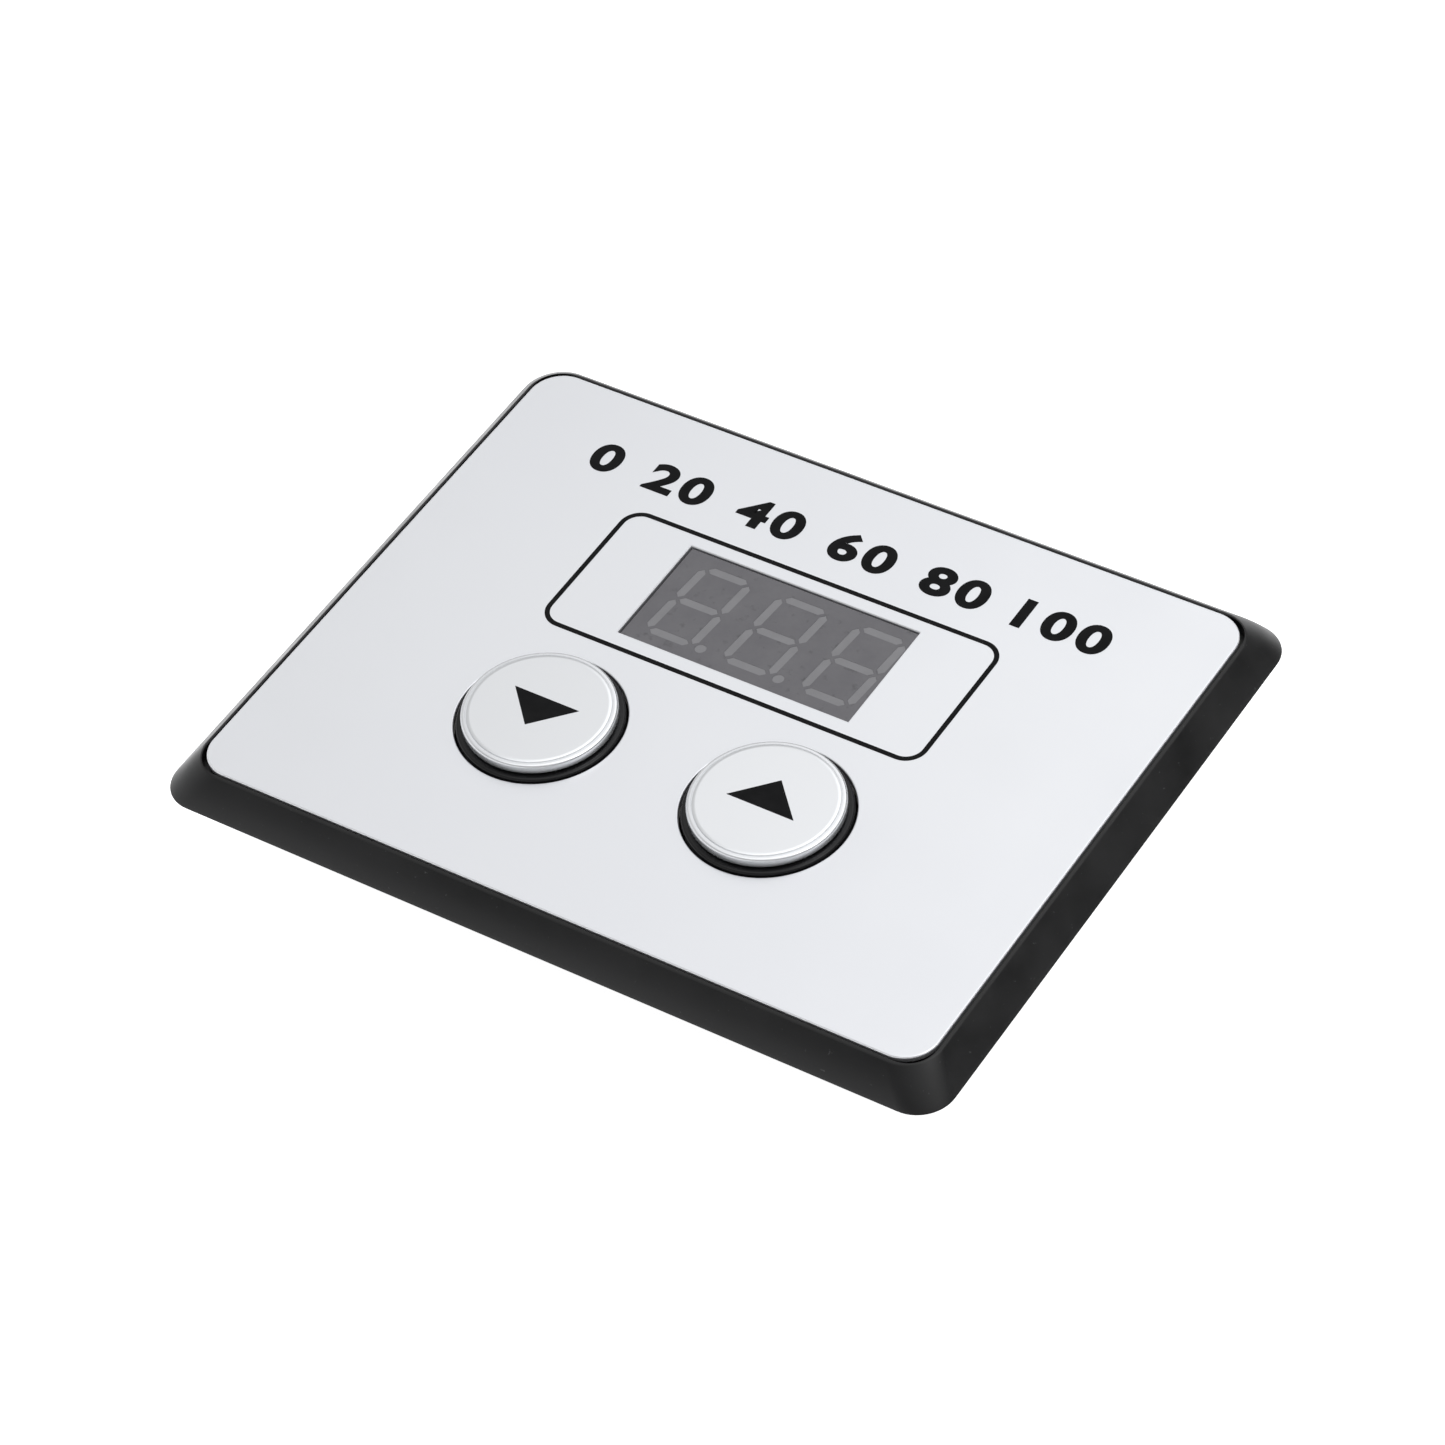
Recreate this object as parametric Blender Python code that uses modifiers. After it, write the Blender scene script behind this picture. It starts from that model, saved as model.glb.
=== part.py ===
"""A flush-mounted control panel: silver front plate in a black bezel, three-digit display, two push buttons.

The part lies on its rear cover. The origin is the middle of the rear cover's outer face, +X runs along the
display, +Y runs to the panel's upper edge and +Z comes out of the front. Every size is in metres.
"""

import math

import bmesh
import bpy

# Clearances
FIT = 0.0003
WELL_GAP = 0.00012
MERGE = 0.00001
PART_GAP = 0.00045
STEP = 0.00005

# Roundness: steps round a corner, a rim, a large circle, a small circle and a pin
CORNER_STEPS = 5
RIM_STEPS = 3
LARGE_STEPS = 40
SMALL_STEPS = 16
PIN_STEPS = 6
POINT_STEPS = 16

# Front plate and the adhesive sheet behind it
PLATE_X = 0.1163
PLATE_Y = 0.0890
PLATE_T = 0.0010
PLATE_R = 0.0050
PLATE_ROUND = 0.0002
SHEET_T = 0.0004
SHEET_MARGIN = 0.0012

# Bezel housing: sloped flange in front of the panel, box behind it
FLANGE_OVERHANG = 0.0044
FLANGE_H = 0.00475
FLANGE_R = 0.0055
FLANGE_WIDTH = 0.0126
RIM_W = 0.0004
RIM_DROP = 0.0003
RIM_ROUND = 0.0003
POCKET_GAP = 0.0003
POCKET_R = 0.0042
DECK_T = 0.0020
WALL_T = 0.0020
BOX_R = 0.0040

# Rear cover
COVER_T = 0.0020
LIP_H = 0.0015
LIP_T = 0.0012
PART_ROOM = 0.0078
PORT_MARGIN = 0.0012

# Panel gasket
GASKET_T = 0.0010
GASKET_W = 0.0065
GASKET_GAP = 0.0006

# Main circuit board
BOARD_T = 0.0016
BOARD_GAP = 0.0008
PIN_REACH = 0.0010
PIN_R = 0.00025
LEAD_ROOT = 0.0006

# Display module and the window it looks out of
WINDOW_X = 0.0376
WINDOW_Y = 0.01905
WINDOW_MID_X = -0.0006
FACE_RECESS = 0.0004
DISPLAY_H = 0.0079
DISPLAY_BOARD_T = 0.0012
DIFFUSER_T = 0.0008
DIFFUSER_RECESS = 0.0001
DISPLAY_PIN_PITCH = 0.00254
DISPLAY_PIN_ROWS = 0.01524
DISPLAY_PINS = 6
DIGITS = 3
DIGIT_PITCH = 0.0127
DIGIT_W = 0.00735
DIGIT_H = 0.01366
DIGIT_MID_X = 0.0006
BAR_W = 0.00125
BAR_END_GAP = 0.00030
DIGIT_SLANT = math.radians(4.4)
POINT_D = 0.0016
POINT_X = 0.0052

# Push buttons: cap, body, travel
BUTTON_HOLE_D = 0.0242
BUTTON_PITCH = 0.0368
BUTTON_MID_X = -0.0013
BUTTON_TRAVEL = 0.0006
BUTTON_LIP = 0.0007
BUTTON_LIP_T = 0.0012
BUTTON_WALL = 0.0014
BUTTON_TOP_T = 0.0015
BUTTON_CHAMFER = 0.0005
POST_D = 0.0040
CAP_D = 0.0218
CAP_RISE = 0.0021
CAP_H = 0.0015
CAP_T = 0.0008
CAP_ROUND = 0.0006

# Layout across the height of the box: the display over the buttons
CONTROL_GAP_Y = 0.0064
LOWER_SHARE = 0.33

# Return springs
SPRING_D = 0.0152
SPRING_WIRE = 0.0006
SPRING_TURNS = 3
SPRING_END_PITCH = 0.00075
SPRING_STEPS = 10

# Tact switches
SWITCH_W = 0.0060
SWITCH_H = 0.0035
SWITCH_WELL_D = 0.0052
SWITCH_WELL_DEPTH = 0.0020
SWITCH_PLATE_T = 0.0003
PLUNGER_D = 0.0034
PLUNGER_FOOT_T = 0.0010
PLUNGER_TOP = 0.0050
PLUNGER_SHARE = 0.5
LEG_W = 0.0006
LEG_X = 0.0030
LEG_Y = 0.00225

# Screws
SHANK_R = 0.00105
HEAD_R = 0.0021
HEAD_T = 0.0013
HEAD_EDGE = 0.00045
SINK_HEAD_T = 0.0012
SINK_DEPTH = 0.00015
COVER_SCREW_L = 0.0090
BOARD_SCREW_L = 0.0070
CLIP_SCREW_L = 0.0055
CROSS_ARM = 0.0012
CROSS_W = 0.0004
CROSS_DEPTH = 0.0006
BOSS_R = 0.0032
BOSS_INSET = 0.0028
BOARD_BOSS_R = 0.0025
BOARD_BOSS_X = 0.0032
BOARD_BOSS_Y = 0.0105

# Panel clips on the short sides of the box
CLIP_W = 0.0140
CLIP_T = 0.0005
CLIP_BEND = 0.0015
CLIP_FLARE = 0.0012
CLIP_PANEL_ROOM = 0.0017
CLIP_FOOT_TOP = 0.0040
CLIP_BOSS_R = 0.0026
CLIP_BOSS_L = 0.0020
CLIP_BOSS_GAP = 0.0004
CLIP_ACCESS_R = 0.0026
CLIP_STEPS = 6

# Cable header and its pins
HEADER_X = 0.00575
HEADER_Y = 0.0124
HEADER_WALL = 0.0008
HEADER_BASE = 0.0014
HEADER_INSET = 0.0120
HEADER_PINS = 4
HEADER_PITCH = 0.0025
HEADER_PIN_W = 0.00064
HEADER_PIN_REACH = 0.0030
HEADER_KEY_W = 0.0012

# Chips and small parts on the back of the board
CHIP_LEAD_T = 0.0003
CHIP_LEAD_W = 0.0004
CHIP_LEAD_L = 0.0014
CHIP_LEAD_ROOT = 0.0003
CHIP_LEAD_PITCH = 0.00127
CONTROLLER_X = 0.0128
CONTROLLER_Y = 0.0075
CONTROLLER_H = 0.0023
CONTROLLER_LEADS = 10
DRIVER_X = 0.0099
DRIVER_Y = 0.0039
DRIVER_H = 0.0016
DRIVER_LEADS = 8
NETWORK_X = 0.0025
NETWORK_Y = 0.0228
NETWORK_H = 0.0050
NETWORK_R = 0.0006
NETWORK_PINS = 9
NETWORK_PITCH = 0.00254
NETWORK_INSET = 0.0100
CAPACITOR_R = 0.00315
CAPACITOR_PINS = 0.0025
CAPACITOR_INSET = 0.0180
CAN_GROOVE = 0.0003
CAN_GROOVE_Z = 0.0010
CRYSTAL_X = 0.0114
CRYSTAL_Y = 0.0047
CRYSTAL_H = 0.0035
CRYSTAL_R = 0.0020
CRYSTAL_PINS = 0.00488
CRYSTAL_AWAY = 0.0160
REGULATOR_X = 0.0066
REGULATOR_Y = 0.0061
REGULATOR_H = 0.0023
REGULATOR_TAB_X = 0.0054
REGULATOR_TAB_Y = 0.0012
REGULATOR_TAB_T = 0.0005
REGULATOR_LEG_X = 0.0023

# Heights, from the rear cover's outer face to the front
BOX_Z0 = COVER_T + FIT
BOARD_Z0 = COVER_T + PART_ROOM
BOARD_Z1 = BOARD_Z0 + BOARD_T
MODULE_Z0 = BOARD_Z1 + FIT
FACE_Z = MODULE_Z0 + DISPLAY_H
PLATE_Z1 = FACE_Z + FACE_RECESS
PLATE_Z0 = PLATE_Z1 - PLATE_T
SHEET_Z1 = PLATE_Z0 - FIT
SHEET_Z0 = SHEET_Z1 - SHEET_T
DECK_Z1 = SHEET_Z0 - FIT
DECK_Z0 = DECK_Z1 - DECK_T
RIM_Z = PLATE_Z1 - RIM_DROP
FLANGE_Z = PLATE_Z1 - FLANGE_H
TOP_Z = PLATE_Z1 + CAP_RISE
PARTS_Z = BOARD_Z0 - FIT
PARTS_LOW = COVER_T + PART_GAP
CLIP_SCREW_Z = PARTS_Z - CLIP_BOSS_GAP - CLIP_BOSS_R

# Widths that follow the plate
FLANGE_X = PLATE_X + 2 * FLANGE_OVERHANG
FLANGE_Y = PLATE_Y + 2 * FLANGE_OVERHANG
SLOPE_RUN = FLANGE_OVERHANG - POCKET_GAP - RIM_W
BOX_X = FLANGE_X - 2 * FLANGE_WIDTH
BOX_Y = FLANGE_Y - 2 * FLANGE_WIDTH
INNER_X = BOX_X - 2 * WALL_T
INNER_Y = BOX_Y - 2 * WALL_T
INNER_R = BOX_R - WALL_T
CASE_X = WINDOW_X - 2 * FIT
CASE_Y = WINDOW_Y - 2 * FIT

# Places of the display and the buttons
LIP_R = BUTTON_HOLE_D / 2 + BUTTON_LIP
FREE_Y = INNER_Y - 2 * LIP_R - CONTROL_GAP_Y - CASE_Y
BUTTON_Y = -INNER_Y / 2 + LOWER_SHARE * FREE_Y + LIP_R
DISPLAY_Y = BUTTON_Y + LIP_R + CONTROL_GAP_Y + CASE_Y / 2
DISPLAY_X = WINDOW_MID_X
BUTTONS = {
    "down": (BUTTON_MID_X - BUTTON_PITCH / 2, BUTTON_Y, 0),
    "up": (BUTTON_MID_X + BUTTON_PITCH / 2, BUTTON_Y, 0),
}
CORNERS = [(-1, -1), (1, -1), (1, 1), (-1, 1)]
COVER_BOSSES = [(sx * (INNER_X / 2 - BOSS_INSET), sy * (INNER_Y / 2 - BOSS_INSET)) for sx, sy in CORNERS]
BOARD_BOSSES = [(sx * (INNER_X / 2 - BOARD_BOSS_X), sy * (INNER_Y / 2 - BOARD_BOSS_Y)) for sx, sy in CORNERS]
HEADER_PLACE = (INNER_X / 2 - HEADER_INSET, 0, 0)
NETWORK_PLACE = (-INNER_X / 2 + NETWORK_INSET, 0, 0)
CAPACITOR_PLACE = (-INNER_X / 2 + CAPACITOR_INSET, 0, 0)
CONTROLLER_PLACE = (DISPLAY_X, DISPLAY_Y, 0)
DRIVER_PLACE = (BUTTON_MID_X, BUTTON_Y, 0)
CRYSTAL_PLACE = (DISPLAY_X + CRYSTAL_AWAY, DISPLAY_Y, 0)
REGULATOR_PLACE = (DISPLAY_X - CRYSTAL_AWAY, DISPLAY_Y, 0)


# ---------------------------------------------------------------- scene and materials


def clear_scene():
    for obj in list(bpy.data.objects):
        bpy.data.objects.remove(obj)


def new_collection(name):
    made = bpy.data.collections.new(name)
    bpy.context.scene.collection.children.link(made)
    return made


def finish(name, color, roughness, metallic=0.0):
    made = bpy.data.materials.new(name)
    made.use_nodes = True
    shader = made.node_tree.nodes["Principled BSDF"]
    shader.inputs["Base Color"].default_value = (*color, 1.0)
    shader.inputs["Roughness"].default_value = roughness
    shader.inputs["Metallic"].default_value = metallic
    return made


# ---------------------------------------------------------------- shapes


def mesh_of(shape):
    """The mesh of an edited shape, which is then freed."""
    bmesh.ops.recalc_face_normals(shape, faces=shape.faces)
    mesh = bpy.data.meshes.new("shape")
    shape.to_mesh(mesh)
    shape.free()
    return mesh


def slab(size_x, size_y, z_low, z_high, radius=0.0, inset=0.0, rim_round=0.0):
    """A flat block with round upright corners. Its top is drawn in by inset, and its top rim is rounded."""
    middle = (z_low + z_high) / 2
    shape = bmesh.new()
    bmesh.ops.create_cube(shape, size=1.0)
    bmesh.ops.scale(shape, vec=(size_x, size_y, z_high - z_low), verts=shape.verts)
    bmesh.ops.translate(shape, vec=(0, 0, middle), verts=shape.verts)
    if radius:
        upright = [edge for edge in shape.edges if edge.verts[0].co.xy == edge.verts[1].co.xy]
        bmesh.ops.bevel(
            shape, geom=upright, offset=radius, segments=CORNER_STEPS, profile=0.5, affect="EDGES"
        )
    for vert in shape.verts:
        if vert.co.z > middle:
            vert.co.x -= math.copysign(inset, vert.co.x)
            vert.co.y -= math.copysign(inset, vert.co.y)
    if rim_round:
        rim = [edge for edge in shape.edges if min(vert.co.z for vert in edge.verts) > middle]
        bmesh.ops.bevel(shape, geom=rim, offset=rim_round, segments=RIM_STEPS, profile=0.5, affect="EDGES")
    return mesh_of(shape)


def blocks(places, size_x, size_y, z_low, z_high):
    """Equal blocks, each centred on one of the places."""
    shape = bmesh.new()
    for x, y in places:
        block = bmesh.ops.create_cube(shape, size=1.0)["verts"]
        bmesh.ops.scale(shape, vec=(size_x, size_y, z_high - z_low), verts=block)
        bmesh.ops.translate(shape, vec=(x, y, (z_low + z_high) / 2), verts=block)
    return mesh_of(shape)


def rods(places, radius, z_low, z_high, steps, top_radius=None):
    """Equal upright rods or cones, each centred on one of the places."""
    shape = bmesh.new()
    for x, y in places:
        rod = bmesh.ops.create_cone(
            shape,
            cap_ends=True,
            segments=steps,
            radius1=radius,
            radius2=radius if top_radius is None else top_radius,
            depth=z_high - z_low,
        )["verts"]
        bmesh.ops.translate(shape, vec=(x, y, (z_low + z_high) / 2), verts=rod)
    return mesh_of(shape)


def prism(outlines, z_low, z_high):
    """Flat outlines filled and given a thickness, as one mesh."""
    curve = bpy.data.curves.new("outline", "CURVE")
    curve.dimensions = "2D"
    curve.fill_mode = "BOTH"
    curve.extrude = (z_high - z_low) / 2
    for outline in outlines:
        spline = curve.splines.new("POLY")
        spline.points.add(len(outline) - 1)
        for point, (x, y) in zip(spline.points, outline):
            point.co = (x, y, 0, 1)
        spline.use_cyclic_u = True
    holder = bpy.data.objects.new("outline", curve)
    holder.location.z = (z_low + z_high) / 2
    CUTTERS.objects.link(holder)
    bpy.context.view_layer.update()
    evaluated = holder.evaluated_get(bpy.context.evaluated_depsgraph_get())
    filled = bpy.data.meshes.new_from_object(evaluated)
    filled.transform(holder.matrix_world)
    bpy.data.objects.remove(holder)
    shape = bmesh.new()
    shape.from_mesh(filled)
    bmesh.ops.remove_doubles(shape, verts=shape.verts, dist=MERGE)
    return mesh_of(shape)


def arc(mid_x, mid_z, radius, start, end, steps):
    """Points along an arc, with its two ends. Angles are in degrees."""
    angles = [math.radians(start + (end - start) * step / steps) for step in range(steps + 1)]
    return [(mid_x + radius * math.cos(angle), mid_z + radius * math.sin(angle)) for angle in angles]


def wire_mesh(points):
    """An open line of edges through points in the XZ plane."""
    mesh = bpy.data.meshes.new("profile")
    edges = [(index, index + 1) for index in range(len(points) - 1)]
    mesh.from_pydata([(x, 0, z) for x, z in points], edges, [])
    return mesh


# ---------------------------------------------------------------- objects


def part(name, mesh, look, place=(0, 0, 0)):
    obj = bpy.data.objects.new(name, mesh)
    obj.location = place
    mesh.materials.append(look)
    PARTS.objects.link(obj)
    return obj


def turned_part(name, profile, look, place=(0, 0, 0), steps=LARGE_STEPS):
    """A profile, from its top on the axis down its outer side, turned once round Z."""
    obj = part(name, wire_mesh(profile), look, place)
    turn = obj.modifiers.new("turn", "SCREW")
    turn.steps = steps
    turn.render_steps = steps
    turn.use_merge_vertices = True
    turn.merge_threshold = MERGE
    return obj


def combine(obj, operation, mesh, place):
    """Cuts the mesh from the object, or joins it on, and keeps it as a hidden helper."""
    helper = bpy.data.objects.new(f"{obj.name}_{operation.lower()}_{len(obj.modifiers)}", mesh)
    helper.location = place
    helper.hide_render = True
    helper.display_type = "WIRE"
    CUTTERS.objects.link(helper)
    modifier = obj.modifiers.new(operation.lower(), "BOOLEAN")
    modifier.operation = operation
    modifier.solver = "EXACT"
    modifier.object = helper
    return helper


def cut(obj, mesh, place=(0, 0, 0)):
    return combine(obj, "DIFFERENCE", mesh, place)


def join(obj, mesh, place=(0, 0, 0)):
    return combine(obj, "UNION", mesh, place)


# ---------------------------------------------------------------- bezel, plate and cover


def make_bezel_housing():
    box = part(
        "bezel_housing",
        slab(FLANGE_X, FLANGE_Y, FLANGE_Z, RIM_Z, FLANGE_R, inset=SLOPE_RUN, rim_round=RIM_ROUND),
        BLACK_CASE,
    )
    join(box, slab(BOX_X, BOX_Y, BOX_Z0, DECK_Z0, BOX_R))
    cut(box, slab(INNER_X, INNER_Y, 0, DECK_Z0, INNER_R))
    cut(box, slab(PLATE_X + 2 * POCKET_GAP, PLATE_Y + 2 * POCKET_GAP, DECK_Z1, TOP_Z, POCKET_R))
    join(box, rods(COVER_BOSSES, BOSS_R, BOX_Z0, DECK_Z0 + DECK_T / 2, SMALL_STEPS))
    join(box, rods(BOARD_BOSSES, BOARD_BOSS_R, MODULE_Z0, DECK_Z0 + DECK_T / 2, SMALL_STEPS))
    cut(box, rods(COVER_BOSSES, SHANK_R + FIT, 0, COVER_SCREW_L + 2 * FIT, SMALL_STEPS))
    cut(box, rods(BOARD_BOSSES, SHANK_R + FIT, 0, PARTS_Z + BOARD_SCREW_L + FIT, SMALL_STEPS))
    cut(box, slab(WINDOW_X, WINDOW_Y, 0, PLATE_Z1), (DISPLAY_X, DISPLAY_Y, 0))
    for place in BUTTONS.values():
        cut(box, rods([(0, 0)], BUTTON_HOLE_D / 2, BOARD_Z1, PLATE_Z1, LARGE_STEPS), place)
    for side in (-1, 1):
        bore_through_side(box, side)


def bore_through_side(box, side):
    """The boss inside one short wall, and the hole through both for the clip's screw."""
    wall_x = side * (INNER_X / 2 + WALL_T / 2)
    boss = join(
        box,
        rods([(0, 0)], CLIP_BOSS_R, 0, CLIP_BOSS_L + WALL_T / 2, SMALL_STEPS),
        (wall_x, 0, CLIP_SCREW_Z),
    )
    boss.rotation_euler.y = -side * math.pi / 2
    hole = cut(
        box,
        rods([(0, 0)], SHANK_R + FIT, -WALL_T, CLIP_BOSS_L + WALL_T, SMALL_STEPS),
        (wall_x, 0, CLIP_SCREW_Z),
    )
    hole.rotation_euler.y = -side * math.pi / 2


def open_for_controls(sheet, z_low, z_high):
    """The display window and the two button holes, cut through a sheet."""
    cut(sheet, slab(WINDOW_X, WINDOW_Y, z_low, z_high), (DISPLAY_X, DISPLAY_Y, 0))
    for place in BUTTONS.values():
        cut(sheet, rods([(0, 0)], BUTTON_HOLE_D / 2, z_low, z_high, LARGE_STEPS), place)


def make_front_plate():
    plate = part(
        "front_plate",
        slab(PLATE_X, PLATE_Y, PLATE_Z0, PLATE_Z1, PLATE_R, rim_round=PLATE_ROUND),
        SILVER_PLATE,
    )
    open_for_controls(plate, DECK_Z0, TOP_Z)


def make_adhesive_sheet():
    size_x = PLATE_X - 2 * SHEET_MARGIN
    size_y = PLATE_Y - 2 * SHEET_MARGIN
    sheet = part("adhesive_sheet", slab(size_x, size_y, SHEET_Z0, SHEET_Z1, PLATE_R), ADHESIVE)
    open_for_controls(sheet, DECK_Z0, TOP_Z)


def make_panel_gasket():
    z_high = FLANGE_Z - FIT
    z_low = z_high - GASKET_T
    outer = 2 * (GASKET_GAP + GASKET_W)
    gasket = part("panel_gasket", slab(BOX_X + outer, BOX_Y + outer, z_low, z_high, BOX_R), FOAM)
    cut(gasket, slab(BOX_X + 2 * GASKET_GAP, BOX_Y + 2 * GASKET_GAP, 0, PLATE_Z1, BOX_R))


def make_rear_cover():
    cover = part("rear_cover", slab(BOX_X, BOX_Y, 0, COVER_T, BOX_R), BLACK_CASE)
    lip_z = COVER_T + LIP_H
    lip_x = INNER_X - 2 * FIT
    lip_y = INNER_Y - 2 * FIT
    join(cover, slab(lip_x, lip_y, COVER_T / 2, lip_z, INNER_R))
    cut(cover, slab(lip_x - 2 * LIP_T, lip_y - 2 * LIP_T, COVER_T, 2 * lip_z, INNER_R))
    cut(cover, rods(COVER_BOSSES, BOSS_R + FIT, COVER_T, 2 * lip_z, SMALL_STEPS))
    notches = [(side * lip_x / 2, 0) for side in (-1, 1)]
    cut(cover, blocks(notches, 4 * LIP_T, 2 * (CLIP_BOSS_R + FIT), COVER_T, 2 * lip_z))
    cut(cover, rods(COVER_BOSSES, SHANK_R + FIT, -COVER_T, 2 * COVER_T, SMALL_STEPS))
    sink_top = SINK_DEPTH + SINK_HEAD_T + FIT
    slope = (HEAD_R - SHANK_R) / SINK_HEAD_T
    mouth_r = SHANK_R + FIT + slope * (sink_top + COVER_T)
    cut(cover, rods(COVER_BOSSES, mouth_r, -COVER_T, sink_top, SMALL_STEPS, SHANK_R + FIT))
    port_x = HEADER_X + 2 * PORT_MARGIN
    port_y = HEADER_Y + 2 * PORT_MARGIN
    cut(cover, slab(port_x, port_y, -COVER_T, 2 * COVER_T, PORT_MARGIN), HEADER_PLACE)


# ---------------------------------------------------------------- screws and clips


def cut_cross(screw, head_z):
    """The cross recess in a head whose outer face, at head_z of the screw's own axis, looks down."""
    for size_x, size_y in ((2 * CROSS_ARM, CROSS_W), (CROSS_W, 2 * CROSS_ARM)):
        bar = blocks([(0, 0)], size_x, size_y, head_z - CROSS_DEPTH, head_z + CROSS_DEPTH)
        recess = cut(screw, bar, screw.location)
        recess.rotation_euler = screw.rotation_euler


def make_cover_screws():
    head_z = SINK_DEPTH
    profile = [
        (0, head_z + COVER_SCREW_L),
        (SHANK_R, head_z + COVER_SCREW_L),
        (SHANK_R, head_z + SINK_HEAD_T),
        (HEAD_R, head_z),
        (0, head_z),
    ]
    for number, (x, y) in enumerate(COVER_BOSSES, 1):
        screw = turned_part(f"cover_screw_{number}", profile, STEEL, (x, y, 0), SMALL_STEPS)
        cut_cross(screw, head_z)


def pan_profile(length):
    """A pan-head screw that points up, with the underside of its head at zero."""
    return [
        (0, length),
        (SHANK_R, length),
        (SHANK_R, 0),
        (HEAD_R, 0),
        (HEAD_R, -HEAD_T + HEAD_EDGE),
        (HEAD_R - HEAD_EDGE, -HEAD_T),
        (0, -HEAD_T),
    ]


def make_board_screws():
    for number, (x, y) in enumerate(BOARD_BOSSES, 1):
        place = (x, y, PARTS_Z)
        screw = turned_part(f"board_screw_{number}", pan_profile(BOARD_SCREW_L), STEEL, place, SMALL_STEPS)
        cut_cross(screw, -HEAD_T)


def make_clip(name, side):
    """A folded leaf: its foot lies along the wall, and its flared end catches behind the panel."""
    foot = FIT + CLIP_T / 2
    leaf = foot + 2 * CLIP_BEND
    bend_z = CLIP_SCREW_Z - HEAD_R
    leaf_top = FLANGE_Z - FIT - GASKET_T - CLIP_PANEL_ROOM
    points = [(foot, CLIP_SCREW_Z + CLIP_FOOT_TOP)]
    points += arc(foot + CLIP_BEND, bend_z, CLIP_BEND, 180, 360, CLIP_STEPS)
    points.append((leaf + CLIP_FLARE, leaf_top))
    shape = bmesh.new()
    shape.from_mesh(wire_mesh(points))
    swept = bmesh.ops.extrude_edge_only(shape, edges=shape.edges)["geom"]
    moved = [item for item in swept if isinstance(item, bmesh.types.BMVert)]
    bmesh.ops.translate(shape, vec=(0, CLIP_W, 0), verts=moved)
    bmesh.ops.translate(shape, vec=(0, -CLIP_W / 2, 0), verts=shape.verts)
    place = (side * BOX_X / 2, 0, 0)
    clip = part(name, mesh_of(shape), SPRING_STEEL, place)
    clip.rotation_euler.z = 0 if side > 0 else math.pi
    thick = clip.modifiers.new("thickness", "SOLIDIFY")
    thick.thickness = CLIP_T
    thick.offset = 0
    bore_clip(clip, side, SHANK_R + FIT, 0, foot + CLIP_BEND)
    bore_clip(clip, side, CLIP_ACCESS_R, foot + CLIP_BEND, 2 * leaf)


def bore_clip(clip, side, radius, start, end):
    """A hole along X through the clip, between two distances from the wall."""
    place = (side * BOX_X / 2, 0, CLIP_SCREW_Z)
    hole = cut(clip, rods([(0, 0)], radius, start, end, SMALL_STEPS), place)
    hole.rotation_euler.y = side * math.pi / 2


def make_clip_screw(name, side):
    head_x = side * (BOX_X / 2 + 2 * FIT + CLIP_T)
    place = (head_x, 0, CLIP_SCREW_Z)
    screw = turned_part(name, pan_profile(CLIP_SCREW_L), STEEL, place, SMALL_STEPS)
    screw.rotation_euler.y = -side * math.pi / 2
    cut_cross(screw, -HEAD_T)


# ---------------------------------------------------------------- display module


def bar_outline(start, end, grow):
    """A six-sided bar with pointed ends, between two points, made larger all round by grow."""
    length = math.dist(start, end)
    along = ((end[0] - start[0]) / length, (end[1] - start[1]) / length)
    across = (-along[1], along[0])
    half = BAR_W / 2 + grow
    tip = BAR_END_GAP - grow * math.sqrt(2)
    stations = [(tip, 0), (tip + half, half), (length - tip - half, half)]
    stations += [(length - tip, 0), (length - tip - half, -half), (tip + half, -half)]
    return [
        (start[0] + along[0] * run + across[0] * off, start[1] + along[1] * run + across[1] * off)
        for run, off in stations
    ]


def digit_outlines(mid_x, grow):
    """The seven bars of one digit and, between two digits, the point that follows it."""
    right = DIGIT_W / 2
    top = DIGIT_H / 2
    rows = [(-right, right, y) for y in (top, 0, -top)]
    bars = [((x_low, y), (x_high, y)) for x_low, x_high, y in rows]
    bars += [((x, y), (x, y + top)) for x in (-right, right) for y in (-top, 0)]
    outlines = [bar_outline(start, end, grow) for start, end in bars]
    if mid_x < DIGIT_PITCH / 2:
        outlines.append(arc(POINT_X, -top, POINT_D / 2 + grow, 0, 360 - 360 / POINT_STEPS, POINT_STEPS - 1))
    lean = math.tan(DIGIT_SLANT)
    return [[(mid_x + x + y * lean, y) for x, y in outline] for outline in outlines]


def display_outlines(grow):
    first = DIGIT_MID_X - (DIGITS - 1) / 2 * DIGIT_PITCH
    outlines = []
    for digit in range(DIGITS):
        outlines += digit_outlines(first + digit * DIGIT_PITCH, grow)
    return outlines


def pin_row(count, pitch, y=0.0):
    return [((index - (count - 1) / 2) * pitch, y) for index in range(count)]


def display_pins():
    half = DISPLAY_PIN_ROWS / 2
    return pin_row(DISPLAY_PINS, DISPLAY_PIN_PITCH, half) + pin_row(DISPLAY_PINS, DISPLAY_PIN_PITCH, -half)


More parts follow.
